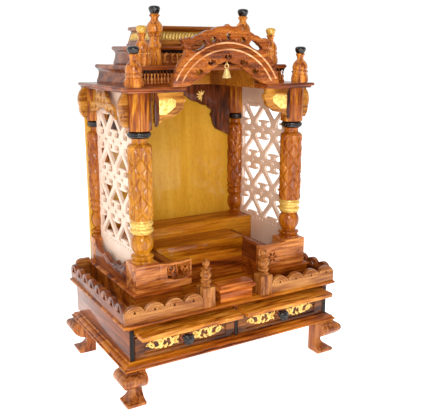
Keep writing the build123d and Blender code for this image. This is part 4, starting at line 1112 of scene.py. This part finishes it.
BRACKET_THICK = 12.0
INNER_THICK = 4.0
INNER_NARROW = 0.6
INNER_FRONT = -113.0
SIDE_REACH = 24.0
BRACKET_TONES = ("#743a08", "#aa6a1e", "#cc903c")
RIM_SHARE = 0.94
FRONT_BRACKET = [(0, 0), (0, -100), (17, -100, 4), (44, -86, -3), (70, -73, -6), (94, -40, -2), (100, -20),
                 (91, -15), (93, 0)]
REAR_BRACKET = [(0, 0), (0, -100), (26, -87, -2), (34, -67), (38, -58, 3), (37, -48, -2), (43, -41, -2),
                (64, -33, -2), (81, -25, -2), (96, -9), (100, 0)]
LEAF_STEPS = (0.1, 0.28, 0.46, 0.64, 0.82, 1.0)
SPRAY_SPREAD = 150.0
SPRAY_LEAVES = 7
GILT_PATCH = [(14, -24), (54, -20), (68, -28), (66, -48), (52, -60), (36, -74), (14, -72)]
FRONT_SPRAYS = [((30, -62), 12, 60), ((56, -32), 12, 200), ((44, -44), 13, 110), ((24, -38), 10, 150)]
REAR_SPRAYS = [((56, -22), 20, 20)]
SIDE_BRACKET = [(0, 0), (0, -100), (40, -100, -15), (76, -64, -18), (65, -12, 5), (45, 0)]


def leaf_spray(bm, centre, reach, place, aim):
    """Carved leaves that fan out from one point."""
    for k in range(SPRAY_LEAVES):
        share = 2 * k / (SPRAY_LEAVES - 1) - 1
        angle = math.radians(aim + SPRAY_SPREAD * share / 2)
        way = Vector((math.cos(angle), math.sin(angle)))
        curl = Vector((-way.y, way.x)) * share * reach * 0.3
        length = reach * (1 - 0.3 * abs(share))
        path = [Vector(centre) + way * length * t + curl * t * t for t in LEAF_STEPS]
        carve(bm, path, reach * 0.26, 2.2, place, 0.2, 0.45)


def one_side(shape, side, edge, spread):
    """A bracket's shape, drawn from an edge on the left or the right and spread by a factor."""
    return [(side * (edge + spread * a), b, side * spread * bend[0] if bend else 0) for a, b, *bend in shape]


bracket_wood = lacquered_wood("honey_brackets", "X", *BRACKET_TONES, figure=26)
# The rear valance and the inner boards take dark tones that are painted shade.
shaded_bracket_wood = lacquered_wood("dark_brackets_painted_shade", "Z", *DARK_TONES, figure=26)
gilding = bmesh.new()
for node, wood, table, reach, sprays in (
        ("front_brackets", bracket_wood, FRONT_BRACKET, 77.0, FRONT_SPRAYS),
        ("rear_brackets", shaded_bracket_wood, REAR_BRACKET, 160.0, REAR_SPRAYS)):
    low, high = corners(node)
    width, height = (high.x - low.x) / 2, high.z - low.z
    shape = hundredths(table, reach, height)
    bm = bmesh.new()
    for side in (-1, 1):
        place = facing((0, low.y, high.z))
        outline = bent(one_side(shape, side, width, -1), closed=True, step=2.0)
        fill_plate(bm, [outline], BRACKET_THICK, place)
        rim = [(a * RIM_SHARE, b * RIM_SHARE - 1, *bend) for a, b, *bend in shape[2:-2]]
        ribbon(bm, bent(one_side(rim, side, width, -1), step=2.0), RIM_LINE, CARVED_RISE, place)
        for (a, b), size, aim in sprays:
            centre = (side * (width - a * reach / 100), b * height / 100)
            leaf_spray(gilding, centre, size, place, aim if side < 0 else 180 - aim)
        if node == "front_brackets":
            patch = one_side(hundredths(GILT_PATCH, reach, height), side, width, -1)
            fill_plate(gilding, [patch], 1.2, place @ Matrix.Translation((0, 0, 1.0)), 0.4, 1)
    make_piece("carved_" + node, bm, wood, [node], crisp=40)
make_piece("gilded_bracket_leaves", gilding, scroll_gold, crisp=60)
low, high = corners("side_brackets")
bm = bmesh.new()
shape = hundredths(SIDE_BRACKET, SIDE_REACH, high.z - low.z)
edge = PILLAR_X + CAPITAL_HALF
for side in (-1, 1):
    outline = bent(one_side(shape, side, edge, 1), closed=True, step=2.0)
    for front in (low.y, high.y - BRACKET_THICK):
        place = facing((0, front, high.z))
        fill_plate(bm, [outline], BRACKET_THICK, place)
        for height, size in ((-24, 8.0), (-54, 10.0)):
            curl = spiral((side * (edge + 9), height), size, 2.0, 90, -side * 1.2, 24)
            carve(bm, curl, 3.2, 1.8, place, 0.5, 0.3)
make_piece("curved_side_brackets", bm, bracket_wood, ["side_brackets"], crisp=40)
# The inner boards take the dark tones, which are painted shade.
bm = bmesh.new()
edge = PILLAR_X - CAPITAL_HALF
for side in (-1, 1):
    outline = bent(one_side(shape, side, edge, -INNER_NARROW), closed=True, step=2.0)
    fill_plate(bm, [outline], INNER_THICK, facing((0, INNER_FRONT, high.z)))
make_piece("inner_brackets_painted_shade", bm, shaded_bracket_wood, crisp=40)

# Roof board
# A board on the four capitals, cut open behind the arch, with a rounded edge.

NOTCH_HALF = 110.0
NOTCH_DEPTH = 273.0
ROOF_TONES = ("#4a1a04", "#883e0e", "#ac5e20")
low, high = corners("roof_board")
roof_wood = lacquered_wood("sheesham_roof", "X", *ROOF_TONES, figure=40)
notched_board("roof_slab", "roof_board", roof_wood, [(6, 0), (6, 3, -1), (1.2, 5, 1.2), (1.2, 11), (2.4, 12)],
              NOTCH_HALF, NOTCH_DEPTH)

# Roof hollow
# The stepped roof is open behind the arch; golden boards line the back and the sides of the opening.

LINING = 3.0
LINING_TONES = ("#8a4e0e", "#a8651a", "#c07c28")
lining_wood = lacquered_wood("golden_lining", "X", *LINING_TONES, figure=60)
tier_low, tier_high = corners("roof_tier_lower")
bm = bmesh.new()
back_y = low.y + NOTCH_DEPTH
cuboid(bm, (-NOTCH_HALF, back_y - LINING, low.z + 1), (NOTCH_HALF, back_y, tier_high.z - 1))
for inner in (-NOTCH_HALF, NOTCH_HALF - LINING):
    cuboid(bm, (inner, tier_low.y + 1, low.z + 1), (inner + LINING, back_y - LINING, tier_high.z - 1))
ease(bm, 0.4)
make_piece("roof_hollow_lining", bm, lining_wood)

# Roof tiers
# Two stepped tiers under a battered box. In front the lower one has a dark comb over turned balusters, the
# upper one dark festoons over round-headed niches. Slanted gilded leaves run round three sides of the box.

TIER = [(4, 0), (4, 5, -1.2), (10, 26, -1.2), (2, 35), (1.5, 37, 1.5), (1.5, 42), (2.5, 44)]
TOP = [(0, 0), (0, 6), (3, 6), (14, 36, -1.1), (6, 39, 1.5), (6, 46), (8, 48)]
FRIEZE_INSET = 3.2
FRIEZE_THICK = 2.4
COMB_TOP, COMB_ROOT, COMB_TIP, COMB_PITCH = 35.5, 32.5, 28.5, 8.0
BALUSTER_FOOT, BALUSTER_PITCH = 5.0, 8.2
BALUSTER = [(0, 0), (2.8, 0), (2.8, 2.5), (1.5, 4), (2.9, 8, -0.5), (1.4, 14), (1.3, 17), (2.5, 19),
            (2.5, 22), (0, 22)]
NICHE_PITCH, NICHE_HALF, NICHE_FOOT, NICHE_SPRING = 17.6, 5.6, 8.0, 17.0
FESTOON_TOP, FESTOON_FOOT, FESTOON_PITCH = 35.5, 30.0, 11.0
BAND_FOOT, BAND_TOP, BAND_THICK = 8.0, 30.0, 3.0
LEAF_PITCH, LEAF_WIDTH = 8.6, 5.6
TOP_TONES = ("#5a2404", "#98520e", "#bd7420")
BALUSTER_TONES = ("#6e330f", "#b4672a", "#dc9850")
BATTER = math.degrees(math.atan2(11, 30))


def three_faces(low, high, inset, lean=0.0):
    """The places and lengths of strips on the front and the two sides of a roof step."""
    across = high.x - low.x - 2 * inset
    deep = high.y - low.y - inset
    return [(facing((low.x + inset, low.y + inset, low.z), 0, lean), across),
            (facing((high.x - inset, low.y + inset, low.z), 90, lean), deep),
            (facing((low.x + inset, high.y, low.z), -90, lean), deep)]


top_wood = lacquered_wood("sheesham_top_box", "X", *TOP_TONES)
comb_wood = lacquered_wood("dark_combs", "X", *BLACK_TONES, figure=12)
baluster_wood = lacquered_wood("orange_balusters", "Z", *BALUSTER_TONES, figure=14)
band_gold = painted_gold("gilded_band", "#c8983c", "#94641c")
moulded_board("upper_tier", "roof_tier_upper", roof_wood, TIER, plain_back=True)
moulded_board("top_box", "roof_top", top_wood, TOP, plain_back=True)
lower_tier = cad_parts["roof_tier_lower"]
lower_tier.data.materials.clear()
lower_tier.data.materials.append(roof_wood)

low, high = corners("roof_tier_lower")
combs = bmesh.new()
balusters = bmesh.new()
place, front_length = three_faces(low, high, FRIEZE_INSET)[0]
length = front_length / 2 - NOTCH_HALF - 1
for place in (place, place @ Matrix.Translation((front_length - length, 0, 0))):
    count = int(length / COMB_PITCH)
    pitch = length / count
    teeth = [(0, COMB_ROOT)]
    for k in range(count):
        start, end = (k + 0.25) * pitch, (k + 0.75) * pitch
        teeth += [(start, COMB_ROOT), (start, COMB_TIP, -0.9), (end, COMB_TIP), (end, COMB_ROOT)]
    teeth += [(length, COMB_ROOT), (length, COMB_TOP), (0, COMB_TOP)]
    fill_plate(combs, [bent(teeth, closed=True, step=1.0)], FRIEZE_THICK, place, 0.3, 1)
    count = int(length / BALUSTER_PITCH)
    for k in range(count):
        spot = place @ Vector(((k + 0.5) * length / count, BALUSTER_FOOT, -3.2))
        turned_part(balusters, bent(BALUSTER, step=2.0), spot, 8)
make_piece("tier_combs", combs, comb_wood)
make_piece("tier_balusters", balusters, baluster_wood, crisp=50)

low, high = corners("roof_tier_upper")
niches = bmesh.new()
festoons = bmesh.new()
place, length = three_faces(low, high, FRIEZE_INSET)[0]
count = int(length / NICHE_PITCH)
loops = [[(0, BALUSTER_FOOT), (length, BALUSTER_FOOT), (length, FESTOON_FOOT), (0, FESTOON_FOOT)]]
for k in range(count):
    middle = (k + 0.5) * length / count
    niche = [(middle - NICHE_HALF, NICHE_FOOT), (middle + NICHE_HALF, NICHE_FOOT),
             (middle + NICHE_HALF, NICHE_SPRING, -NICHE_HALF), (middle - NICHE_HALF, NICHE_SPRING)]
    loops.append(bent(niche, closed=True, step=1.5))
fill_plate(niches, loops, FRIEZE_THICK, place, 0.4, 1)
count = int(length / FESTOON_PITCH)
lobes = [(k * length / count, FESTOON_FOOT, -3.2) for k in range(count)]
lobes += [(length, FESTOON_FOOT), (length, FESTOON_TOP), (0, FESTOON_TOP)]
forward = place @ Matrix.Translation((0, 0, 1.2))
fill_plate(festoons, [bent(lobes, closed=True, step=1.5)], FRIEZE_THICK, forward, 0.3, 1)
make_piece("tier_niches", niches, baluster_wood, crisp=40)
make_piece("tier_festoons", festoons, comb_wood)

low, high = corners("roof_top")
band = bmesh.new()
leaves = bmesh.new()
slope = math.sin(math.radians(BATTER))
for face, length in three_faces(low + Vector((0, 0, 6)), high, BAND_THICK, BATTER):
    place = face @ Matrix.Translation((0, 0, 1.0))
    foot_in, top_in = slope * BAND_FOOT, slope * BAND_TOP
    strip = [(foot_in, BAND_FOOT), (length - foot_in, BAND_FOOT), (length - top_in, BAND_TOP),
             (top_in, BAND_TOP)]
    fill_plate(band, [strip], BAND_THICK, place, 0.3, 1)
    count = int((length - 2 * top_in) / LEAF_PITCH)
    for k in range(count):
        x = top_in + (k + 0.5) * (length - 2 * top_in) / count
        leaf = bent([(x - 3.5, BAND_FOOT + 3, 1.5), (x + 3.5, BAND_TOP - 3)], step=3.0)
        carve(leaves, leaf, LEAF_WIDTH, 2.2, place, peak=0.5)
make_piece("top_gilded_band", band, band_gold)
make_piece("top_gilded_leaves", leaves, scroll_gold, crisp=60)

# Arch
# A carved and pierced board over the way in, with horned shoulders and a cusped foot over the bell.
# Small leaves stand along its two ribs, whose pale tones are a painted highlight, and the holes have raised
# rims.

ARCH_HALF = 143.0
ARCH_TALL = 136.0
ARCH_THICK = 15.0
ARCH_CROWN = 54.0
ARCH_TIP_BEND = 1.4
HOOK_SEAT = 2.0
RIB_CENTRE = -56.0
RIBS = ((150.7, 63.0), (136.1, 62.0))
RIB_WIDTH = 4.0
ARCH_TONES = ("#5c2606", "#95480f", "#bd6e24")
RIB_HIGHLIGHT_TONES = ("#b4683a", "#e0a06a", "#f8c898")
ARCH_OUTSIDE = [(77, 0), (100, 0, -1), (94, 22, -1.5), (79.5, 47.5, 0.5), (76, 55, 1), (79, 63.5, 1),
                (83, 73, -0.7), (81, 76, 1), (71, 78, 1), (63, 76.5, -1.5), (50, 82.5, -2), (29, 90, -2),
                (8, 96, 1)]
ARCH_INSIDE = [(-68.7, 1.5, 2), (-48.7, 11.4, 2), (-33.6, 22.3, 2), (-20.8, 31.8, 2), (-14.5, 35, 1)]
ARCH_HOLES = [[(40, 67, -2), (60, 57, -1), (66, 60, -1), (60, 66, -2), (44, 74, -2)],
              [(22, 74, -2), (30, 71, -2), (32, 76, -2), (25, 79, -2)],
              [(22, 36, -2), (35, 34, -2), (36, 39, -2), (24, 42, -2)],
              [(46, 21, -2), (57, 18, -2), (59, 23, -2), (49, 27, -2)]]
LOWER_LEAVES = 13
LOWER_RADIUS = 131.0
LOWER_LEAF_STEP = 3.4
LOWER_LEAF_PITCH = 4.4
LOWER_LEAF_LEAN = 0.35
LOWER_LEAF_WIDTH = 5.4
UPPER_LEAF_WIDTH = 6.4
UPPER_LEAVES = [(0, 170.5, 180), (7, 154.5, 171), (19, 154.5, 171)]
UPPER_LEAVES += [(angle, 154.5, 166 - (angle - 33) * 0.25) for angle in range(33, 58, 4)]
ARCH_CURLS = [((107, 96), 9.0, 200, 1.2), ((52, 108), 6.0, 20, -1.2), ((18, 116), 6.0, 160, 1.2),
              ((60, 40), 6.0, 30, -1.1), ((28, 56), 5.0, 30, -1.1)]
ARCH_MIDDLE_HOLES = [[(-4, 75, -1), (4, 75, -1), (3, 80), (5, 84, -1), (-5, 84), (-3, 80)],
                     [(-6, 45, -2), (6, 45, -2), (4, 49, -2), (-4, 49, -2)]]


def polar(radius, angle):
    """A point round the centre of the ribs, by degrees from upright."""
    turned = math.radians(angle)
    return Vector((radius * math.sin(turned), RIB_CENTRE + radius * math.cos(turned)))


arch_wood = lacquered_wood("carved_arch", "X", *ARCH_TONES, figure=30)
# The ribs' pale tones are a painted highlight along them.
rib_highlight_wood = lacquered_wood("ribs_painted_highlight", "X", *RIB_HIGHLIGHT_TONES, figure=20)
low, high = corners("arch")
place = facing((0, low.y, low.z))
outside = hundredths(ARCH_OUTSIDE, ARCH_HALF, ARCH_TALL)
inside = hundredths(ARCH_INSIDE, ARCH_HALF, ARCH_TALL)
points = outside + [(0, ARCH_TALL, ARCH_TIP_BEND)] + other_half(outside) + inside
points += [(-HOOK_SEAT, ARCH_CROWN), (HOOK_SEAT, ARCH_CROWN, ARCH_TIP_BEND)] + other_half(inside)
holes = [bent(hundredths(hole, ARCH_HALF, ARCH_TALL), closed=True, step=2.0)
         for hole in ARCH_HOLES + ARCH_MIDDLE_HOLES]
holes += [[Vector((-p.x, p.y)) for p in reversed(hole)] for hole in holes[:len(ARCH_HOLES)]]
bm = bmesh.new()
fill_plate(bm, [bent(points, closed=True, step=2.5)] + holes, ARCH_THICK, place)
for hole in holes:
    middle = sum(hole, Vector((0, 0))) / len(hole)
    closed_ribbon(bm, [p + (p - middle).normalized() * RIM_LINE for p in hole], 2.0, 1.6, place)
cusps = bent(inside, step=2.0)
for way in (-1, 1):
    rim = [Vector((way * p.x, p.y + 3.2)) for p in cusps]
    ribbon(bm, rim, FAN_LINE, 1.6, place)
for k in range(-LOWER_LEAVES, LOWER_LEAVES + 1):
    lean = LOWER_LEAF_LEAN if k > 0 else -LOWER_LEAF_LEAN
    stem = [polar(LOWER_RADIUS - step * LOWER_LEAF_STEP, k * LOWER_LEAF_PITCH + step * lean)
            for step in range(5)]
    carve(bm, stem, LOWER_LEAF_WIDTH, 2.0, place)
for angle, near, far in UPPER_LEAVES:
    for way in ((-1, 1) if angle else (1,)):
        stem = [polar(near + (far - near) * t, way * (angle + 2.2 * t)) for t in (0, 0.25, 0.5, 0.75, 1)]
        carve(bm, stem, UPPER_LEAF_WIDTH, 2.2, place)
rim = [Vector((p.x - (4.5 if p.x > 40 else 0), p.y - 4.5)) for p in bent(outside[3:], step=2.5)]
for way in (-1, 1):
    carve(bm, [Vector((way * p.x, p.y)) for p in rim], 4.0, 2.2, place, 0.5, 0.6)
    for (x, y), size, first, turns in ARCH_CURLS:
        curl = spiral((way * x, y), size, 1.6, first if way > 0 else 180 - first, way * turns, 24)
        carve(bm, curl, 3.6, 2.6, place, 0.4, 0.3)
make_piece("pierced_arch", bm, arch_wood, ["arch"], crisp=40)
bm = bmesh.new()
for radius, reach in RIBS:
    rib = [polar(radius, reach * k / 30) for k in range(-30, 31)]
    ribbon(bm, rib, RIB_WIDTH, 2.6, place)
make_piece("arch_ribs", bm, rib_highlight_wood, crisp=60)

# Finials
# Six turned finials on the roof: a drum, a beaded neck, a vase and a domed head, gilded on the middle pair
# and nearly black on the others. The rear pair stands on eight-sided pedestals, the rest have fluted drums.

FINIAL = [(0, 0), (100, 0), (100, 22), (90, 24), (96, 27.5, -4), (96, 33.5), (86, 35.5, -6), (92, 46, -8),
          (50, 62, 5), (40, 69), (46, 74), (55, 77, -4), (55, 80), (45, 81.5), (0, 81.5)]
FINIAL_HEAD = [(0, 81), (45, 81, -3), (66, 89.5, -10), (48, 99.4, -2.5), (4, 100), (0, 100)]
TALL_FINIAL = [(0, 26), (65, 26), (75, 29, -10), (70, 37, 5), (65, 47.5), (75, 49, -5), (75, 52.5),
               (85, 55, -6), (96, 62, -10), (55, 74, 5), (45, 80), (60, 83, -4), (60, 85), (45, 86.5),
               (0, 86.5)]
TALL_FINIAL_HEAD = [(0, 86), (45, 86, -3), (67, 93.5, -10), (45, 99.3, -2.5), (5, 99.7), (0, 99.7)]
FLUTES = 10
BEADS_AT = 0.305
TALL_BEADS_AT = 0.508
FINIAL_TONES = ("#742f06", "#be6c1c", "#e69438")
PEDESTAL_HALF = 18.0
PEDESTAL_TOP = 12.9
PEDESTAL_TALL = 36.0
finial_wood = lacquered_wood("turned_finials", "Z", *FINIAL_TONES, figure=18, streak=4, coat=0.04, gloss=0.6)
head_gold = painted_gold("gilded_heads", "#e8b84e", "#a8741f")
for node, radius, profile, cap, cap_wood, cap_slot in (
        ("finials_front", 20.0, FINIAL, FINIAL_HEAD, collar_wood, "dark_wood"),
        ("finials_middle", 18.0, FINIAL, FINIAL_HEAD, head_gold, "brass"),
        ("finials_rear", 20.0, TALL_FINIAL, TALL_FINIAL_HEAD, collar_wood, "dark_wood")):
    low, high = corners(node)
    tall = high.z - low.z
    body = bmesh.new()
    heads = bmesh.new()
    for centre_x in (low.x + (high.y - low.y) / 2, high.x - (high.y - low.y) / 2):
        centre = (centre_x, (low.y + high.y) / 2, low.z)
        turned_part(body, bent(hundredths(profile, radius, tall), step=1.4), centre, 36)
        turned_part(heads, bent(hundredths(cap, radius, tall), step=1.4), centre, 36)
        if node == "finials_rear":
            eight_sided(body, centre, low.z, (PEDESTAL_HALF, PEDESTAL_TOP), PEDESTAL_TALL, 0.6)
            beads(heads, centre, TALL_BEADS_AT * tall, radius * 0.76, 16, 1.3)
            continue
        beads(heads, centre, BEADS_AT * tall, radius * 0.96, 18, 1.5)
        for k in range(FLUTES):
            turn_by = 360 / FLUTES * k
            out = Matrix.Rotation(math.radians(turn_by), 3, "Z") @ Vector((0, 0.5 - radius, 0))
            flute = bent([(-4, 2.5), (-4, 11, 4), (4, 11), (4, 2.5)], step=1.5)
            ribbon(body, flute, 1.7, CARVED_RISE, facing(Vector(centre) + out, turn_by))
    make_piece(node + "_turned", body, finial_wood, [node])
    make_piece(node + "_heads", heads, cap_wood)

# Bell
# A small cast brass bell that hangs by its ring from a wire eye under the crown of the arch.

BELL = [(0, 78), (36, 64), (76, 14), (85, 0), (100, 0), (91, 14, 3), (50, 82, -9), (18, 100), (0, 100)]
BELL_RADIUS = 11.0
BELL_TALL = 22.0
CLAPPER = 2.4
CLAPPER_HEIGHT = 0.6
CLAPPER_ROD = [(0, 2), (0.6, 2), (0.6, 18), (0, 18)]
RING_OUTER = 6.0
RING_WIRE = 1.2
EYE_OUTER = 4.0
EYE_WIRE = 0.8
brass = painted_gold("polished_brass", "#ecd08a", "#b98d3c")


def hoop(bm, centre, radius, wire, axis):
    """A ring of round wire that lies across an axis."""
    part = bmesh.new()
    verts = []
    for k in range(12):
        angle = 2 * math.pi * k / 12
        across, along = radius + wire * math.cos(angle), wire * math.sin(angle)
        verts.append(part.verts.new((across, along, 0) if axis == "Y" else (along, across, 0)))
    edges = [part.edges.new(ends) for ends in around(verts)]
    about = (0, 1, 0) if axis == "Y" else (1, 0, 0)
    bmesh.ops.spin(part, geom=verts + edges, cent=(0, 0, 0), axis=about, angle=2 * math.pi, steps=32,
                   use_merge=True)
    bmesh.ops.translate(part, vec=centre, verts=part.verts)
    join(bm, part)


low, high = corners("bell")
middle_y = (low.y + high.y) / 2
bm = bmesh.new()
turned_part(bm, bent(hundredths(BELL, BELL_RADIUS, BELL_TALL), step=0.8), (0, middle_y, low.z), 40)
hoop(bm, (0, middle_y, high.z - RING_OUTER), RING_OUTER - RING_WIRE, RING_WIRE, "Y")
turned_part(bm, CLAPPER_ROD, (0, middle_y, low.z), 8)
bmesh.ops.create_uvsphere(bm, u_segments=14, v_segments=8, radius=CLAPPER,
                          matrix=Matrix.Translation((0, middle_y, low.z + CLAPPER_HEIGHT)))
make_piece("brass_bell", bm, brass, ["bell"], "bell")
low, high = corners("bell_hook")
bm = bmesh.new()
hoop(bm, (0, middle_y, low.z + EYE_OUTER), EYE_OUTER - EYE_WIRE, EYE_WIRE, "X")
shank = high.z - low.z - 2 * EYE_OUTER + EYE_WIRE
turned_part(bm, [(0, -shank), (EYE_WIRE, -shank), (EYE_WIRE, 0), (0, 0)], (0, middle_y, high.z), 12)
make_piece("bell_eye", bm, brass, ["bell_hook"])

# Studio
# A plain pale floor that glows a little, a pale sky that is dimmer behind the camera, and two soft lights in
# front: the key from the left and above, and a weak one low down.

SKY_DIM = 0.36
SKY_BRIGHT = 1.05
FLOOR_GLOW = 0.85
FLOOR_SIZE = 6.0
floor_mesh = bpy.data.meshes.new("studio_floor")
bm = bmesh.new()
bmesh.ops.create_grid(bm, x_segments=1, y_segments=1, size=FLOOR_SIZE)
bm.to_mesh(floor_mesh)
bm.free()
floor = bpy.data.objects.new("studio_floor", floor_mesh)
bpy.context.collection.objects.link(floor)
floor_paint = bpy.data.materials.new("pale_floor")
floor_paint.use_nodes = True
floor_shader = floor_paint.node_tree.nodes["Principled BSDF"]
for key, value in (("Base Color", linear("#fbfaf8")), ("Roughness", 0.8),
                   ("Emission Color", linear("#ffffff")), ("Emission Strength", FLOOR_GLOW)):
    floor_shader.inputs[key].default_value = value
floor_mesh.materials.append(floor_paint)
floor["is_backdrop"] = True

world = bpy.data.worlds.new("pale_sky")
world.use_nodes = True
sky_tree = world.node_tree
ahead = add(sky_tree, "ShaderNodeSeparateXYZ", {0: add(sky_tree, "ShaderNodeTexCoord").outputs["Generated"]})
glow = add(sky_tree, "ShaderNodeMapRange", {"Value": ahead.outputs["Y"], "From Min": -0.6, "From Max": 0.1,
                                            "To Min": SKY_DIM, "To Max": SKY_BRIGHT})
sky = sky_tree.nodes["Background"]
sky_tree.links.new(glow.outputs[0], sky.inputs["Strength"])
sky.inputs["Color"].default_value = linear("#ffffff")
bpy.context.scene.world = world


def soft_light(name, place, aim, size, power):
    """A square soft light that faces a point."""
    light = bpy.data.lights.new(name, "AREA")
    light.size = size
    light.energy = power
    lamp = bpy.data.objects.new(name, light)
    lamp.location = place
    lamp.rotation_euler = (Vector(aim) - Vector(place)).to_track_quat("-Z", "Y").to_euler()
    bpy.context.collection.objects.link(lamp)


soft_light("key_light", (-1.1, -2.0, 1.4), (0, 0, 0.45), 0.8, 27)
soft_light("low_fill", (-0.1, -1.9, 0.35), (0, 0, 0.7), 0.9, 9)
bpy.context.scene.view_settings.view_transform = "Standard"

CAMERA_PLACE = Vector((-790.5, -1401.2, 790.6)) * MM
CAMERA_AIM = Vector((-75.8, -177.8, 445.0)) * MM
lens = bpy.data.cameras.new("photo_view")
lens.lens = 54.52
lens.sensor_width = 36.0
camera = bpy.data.objects.new("photo_view", lens)
camera.location = CAMERA_PLACE
camera.rotation_euler = (CAMERA_AIM - CAMERA_PLACE).to_track_quat("-Z", "Y").to_euler()
bpy.context.collection.objects.link(camera)
bpy.context.scene.camera = camera

low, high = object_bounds()
